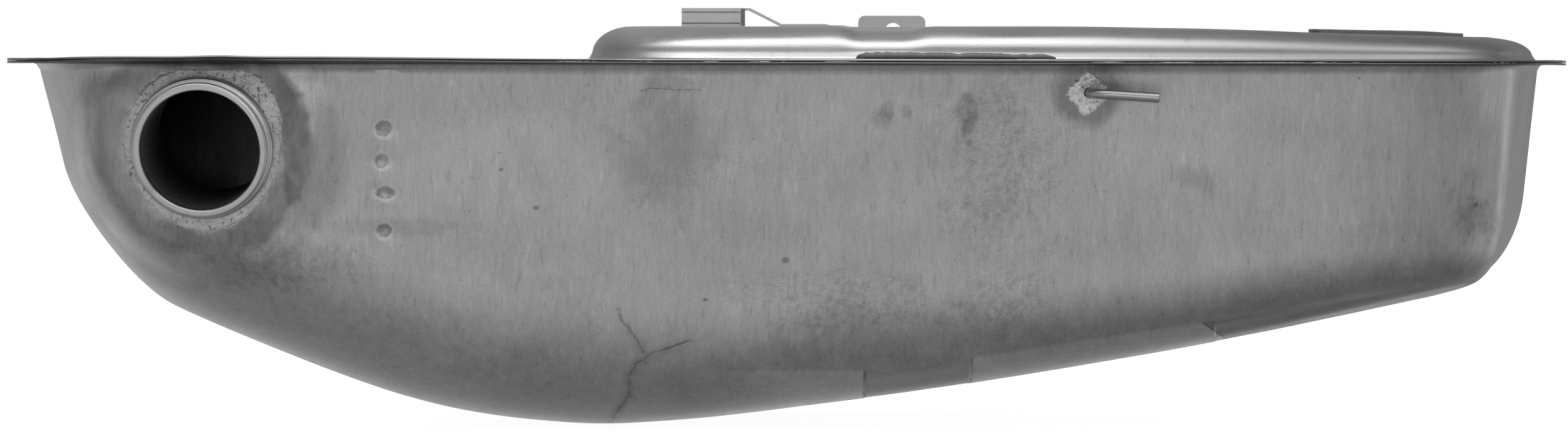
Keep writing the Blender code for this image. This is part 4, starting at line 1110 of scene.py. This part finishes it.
SLOT_FINISH = {"pan_steel": inner_finish, "tray_steel": tray_finish, "neck_steel": neck_finish,
               "bracket_steel": plated, "dark_strip": dark_sheet, "solder": solder_finish,
               "inner_steel": inner_finish, "gasket_rubber": rubber, "brass": brass_finish,
               "dark_plastic": black, "sock_mesh": mesh_cloth}
SOFT_EDGE = 0.00022
SHARP_SHEET = ("hose_clip", "tab_bracket", "support_plate", "sender_lock_ring", "sender_locating_ring",
               "sender_terminal_nut", "sender_bracket", "sender_housing", "baffle_left", "baffle_right")
for entry in frame["record"]["subparts"]:
    node = frame["nodes"][entry["node"]]
    worn = entry["node"] in ("hose_clip", "tab_bracket")
    dress(node, worn_plate if worn else SLOT_FINISH[entry["material_slot"]])
    if entry["node"] in SHARP_SHEET:
        edge = node.modifiers.new("soft_edge", "BEVEL")
        edge.width = SOFT_EDGE
        edge.segments = 2
        edge.limit_method = "ANGLE"
        edge.angle_limit = math.radians(35)


# --- floor, light and camera ---------------------------------------------------------------

def make_stage():
    """A wide white floor that mirrors don't see, clear when looked at from below."""
    bm = bmesh.new()
    bmesh.ops.create_grid(bm, x_segments=1, y_segments=1, size=30.0)
    mesh = bpy.data.meshes.new("studio_floor")
    bm.to_mesh(mesh)
    bm.free()
    floor = bpy.data.objects.new("studio_floor", mesh)
    scene.collection.objects.link(floor)
    paper = bpy.data.materials.new("studio_paper")
    paper.use_nodes = True
    nodes = Nodes(paper.node_tree)
    shader = paper.node_tree.nodes["Principled BSDF"]
    nodes.fill(shader, {"Base Color": (0.9, 0.9, 0.9, 1), "Roughness": 1.0,
                        "Emission Color": (1, 1, 1, 1), "Emission Strength": 0.86})
    either = nodes.add("ShaderNodeMixShader")
    nodes.feed(either.inputs[0], nodes.add("ShaderNodeNewGeometry").outputs["Backfacing"])
    nodes.feed(either.inputs[1], shader.outputs[0])
    nodes.feed(either.inputs[2], nodes.add("ShaderNodeBsdfTransparent").outputs[0])
    nodes.feed(paper.node_tree.nodes["Material Output"].inputs["Surface"], either.outputs[0])
    floor.data.materials.append(paper)
    floor.visible_glossy = False


def make_light(name, place_at, aim, size, energy):
    """A soft rectangular light at place_at, turned to aim."""
    lamp = bpy.data.lights.new(name, "AREA")
    lamp.shape = "RECTANGLE"
    lamp.size, lamp.size_y = size
    lamp.energy = energy
    obj = bpy.data.objects.new(name, lamp)
    obj.location = place_at
    obj.rotation_euler = (Vector(aim) - Vector(place_at)).to_track_quat("-Z", "Y").to_euler()
    obj.visible_camera = False
    scene.collection.objects.link(obj)


# The studio air's brightness by direction: (0 to 1 from -1 to +1 along the axis, grey).
AIR_FRONT = ((0.0, 0.24), (0.10, 0.26), (0.18, 0.38), (0.27, 0.54), (0.34, 0.62), (0.50, 0.54),
             (0.60, 0.40), (0.70, 0.42), (0.80, 0.62), (0.86, 1.35), (0.91, 1.75), (0.945, 1.30),
             (0.975, 0.55), (1.0, 0.40))
AIR_BACK = ((0.0, 0.24), (0.20, 0.36), (0.35, 0.78), (0.44, 0.66), (0.49, 0.42), (0.53, 0.42), (0.75, 0.38),
            (0.95, 0.38), (1.0, 0.40))
AIR_ACROSS = ((0.0, 0.66), (0.10, 0.78), (0.30, 1.0), (0.525, 1.0), (0.58, 0.62), (0.70, 0.62),
              (0.86, 0.64), (0.94, 0.90), (1.0, 0.95))
AIR_TOP = 2.0


def make_world():
    """Studio air by direction: a long softbox up in front, grey walls and a darker floor."""
    world = bpy.data.worlds.new("studio_air")
    scene.world = world
    world.use_nodes = True
    nodes = Nodes(world.node_tree)
    parts = nodes.add("ShaderNodeSeparateXYZ")
    nodes.feed(parts.inputs[0], nodes.add("ShaderNodeTexCoord").outputs["Generated"])

    def shades(axis, table):
        along = nodes.add("ShaderNodeMapRange")
        nodes.fill(along, {"From Min": -1.0, "Value": parts.outputs[axis]})
        greys = nodes.add("ShaderNodeValToRGB")
        stops = greys.color_ramp.elements
        for k, (at, grey) in enumerate(table):
            stop = stops[k] if k < 2 else stops.new(at)
            stop.position = at
            stop.color = (grey / AIR_TOP, grey / AIR_TOP, grey / AIR_TOP, 1)
        nodes.feed(greys.inputs[0], along.outputs[0])
        return greys.outputs[0]

    def mixed(factor, a, b, way="MIX"):
        both = nodes.add("ShaderNodeMix", data_type="RGBA", blend_type=way)
        return nodes.fill(both, {"Factor": factor, "A": a, "B": b}).outputs["Result"]

    front = nodes.add("ShaderNodeMapRange", interpolation_type="SMOOTHSTEP")
    nodes.fill(front, {"From Min": 0.25, "From Max": -0.15, "Value": parts.outputs[1]})
    up_and_down = mixed(front.outputs[0], shades(2, AIR_BACK), shades(2, AIR_FRONT))
    backdrop = world.node_tree.nodes["Background"]
    nodes.fill(backdrop, {"Color": mixed(1.0, up_and_down, shades(0, AIR_ACROSS), "MULTIPLY"),
                          "Strength": AIR_TOP * AIR_TOP})
    white = nodes.fill(nodes.add("ShaderNodeBackground"), {"Color": (1, 1, 1, 1)})
    seen = nodes.add("ShaderNodeMixShader")
    nodes.feed(seen.inputs[0], nodes.add("ShaderNodeLightPath").outputs["Is Camera Ray"])
    nodes.feed(seen.inputs[1], backdrop.outputs[0])
    nodes.feed(seen.inputs[2], white.outputs[0])
    nodes.feed(world.node_tree.nodes["World Output"].inputs["Surface"], seen.outputs[0])


# The camera stands CAMERA_BACK metres off, where the frame reaches HALF_FRAME to each side.
# CAMERA_DROP, how far it looks down, and CAMERA_ROLL are in degrees.
CAMERA_BACK = 6.0
HALF_FRAME = 0.3875
CAMERA_DROP = 0.738550
CAMERA_ROLL = -0.09
lens = bpy.data.cameras.new("camera")
lens.lens = lens.sensor_width * CAMERA_BACK / (2 * HALF_FRAME)
lens.clip_end = 100
camera = bpy.data.objects.new("camera", lens)
camera.location = (SHIFT.x, -CAMERA_BACK, FLANGE_Z + SHIFT.z + 0.001)
camera.rotation_euler = (math.radians(90 - CAMERA_DROP), math.radians(CAMERA_ROLL), 0)
scene.collection.objects.link(camera)
scene.camera = camera
scene.view_settings.view_transform = "Standard"

make_stage()
make_world()
make_light("top_box", (0.1, -0.55, 1.5), (0.1, -0.1, 0.1), (1.8, 0.7), 6)
make_light("front_fill", (-0.2, -6.8, 0.25), (-0.2, 0, 0.12), (1.6, 1.2), 24)
make_light("right_strip", (1.2, 0.72, 0.2), (0.35, -0.2, 0.1), (0.07, 1.0), 0.8)
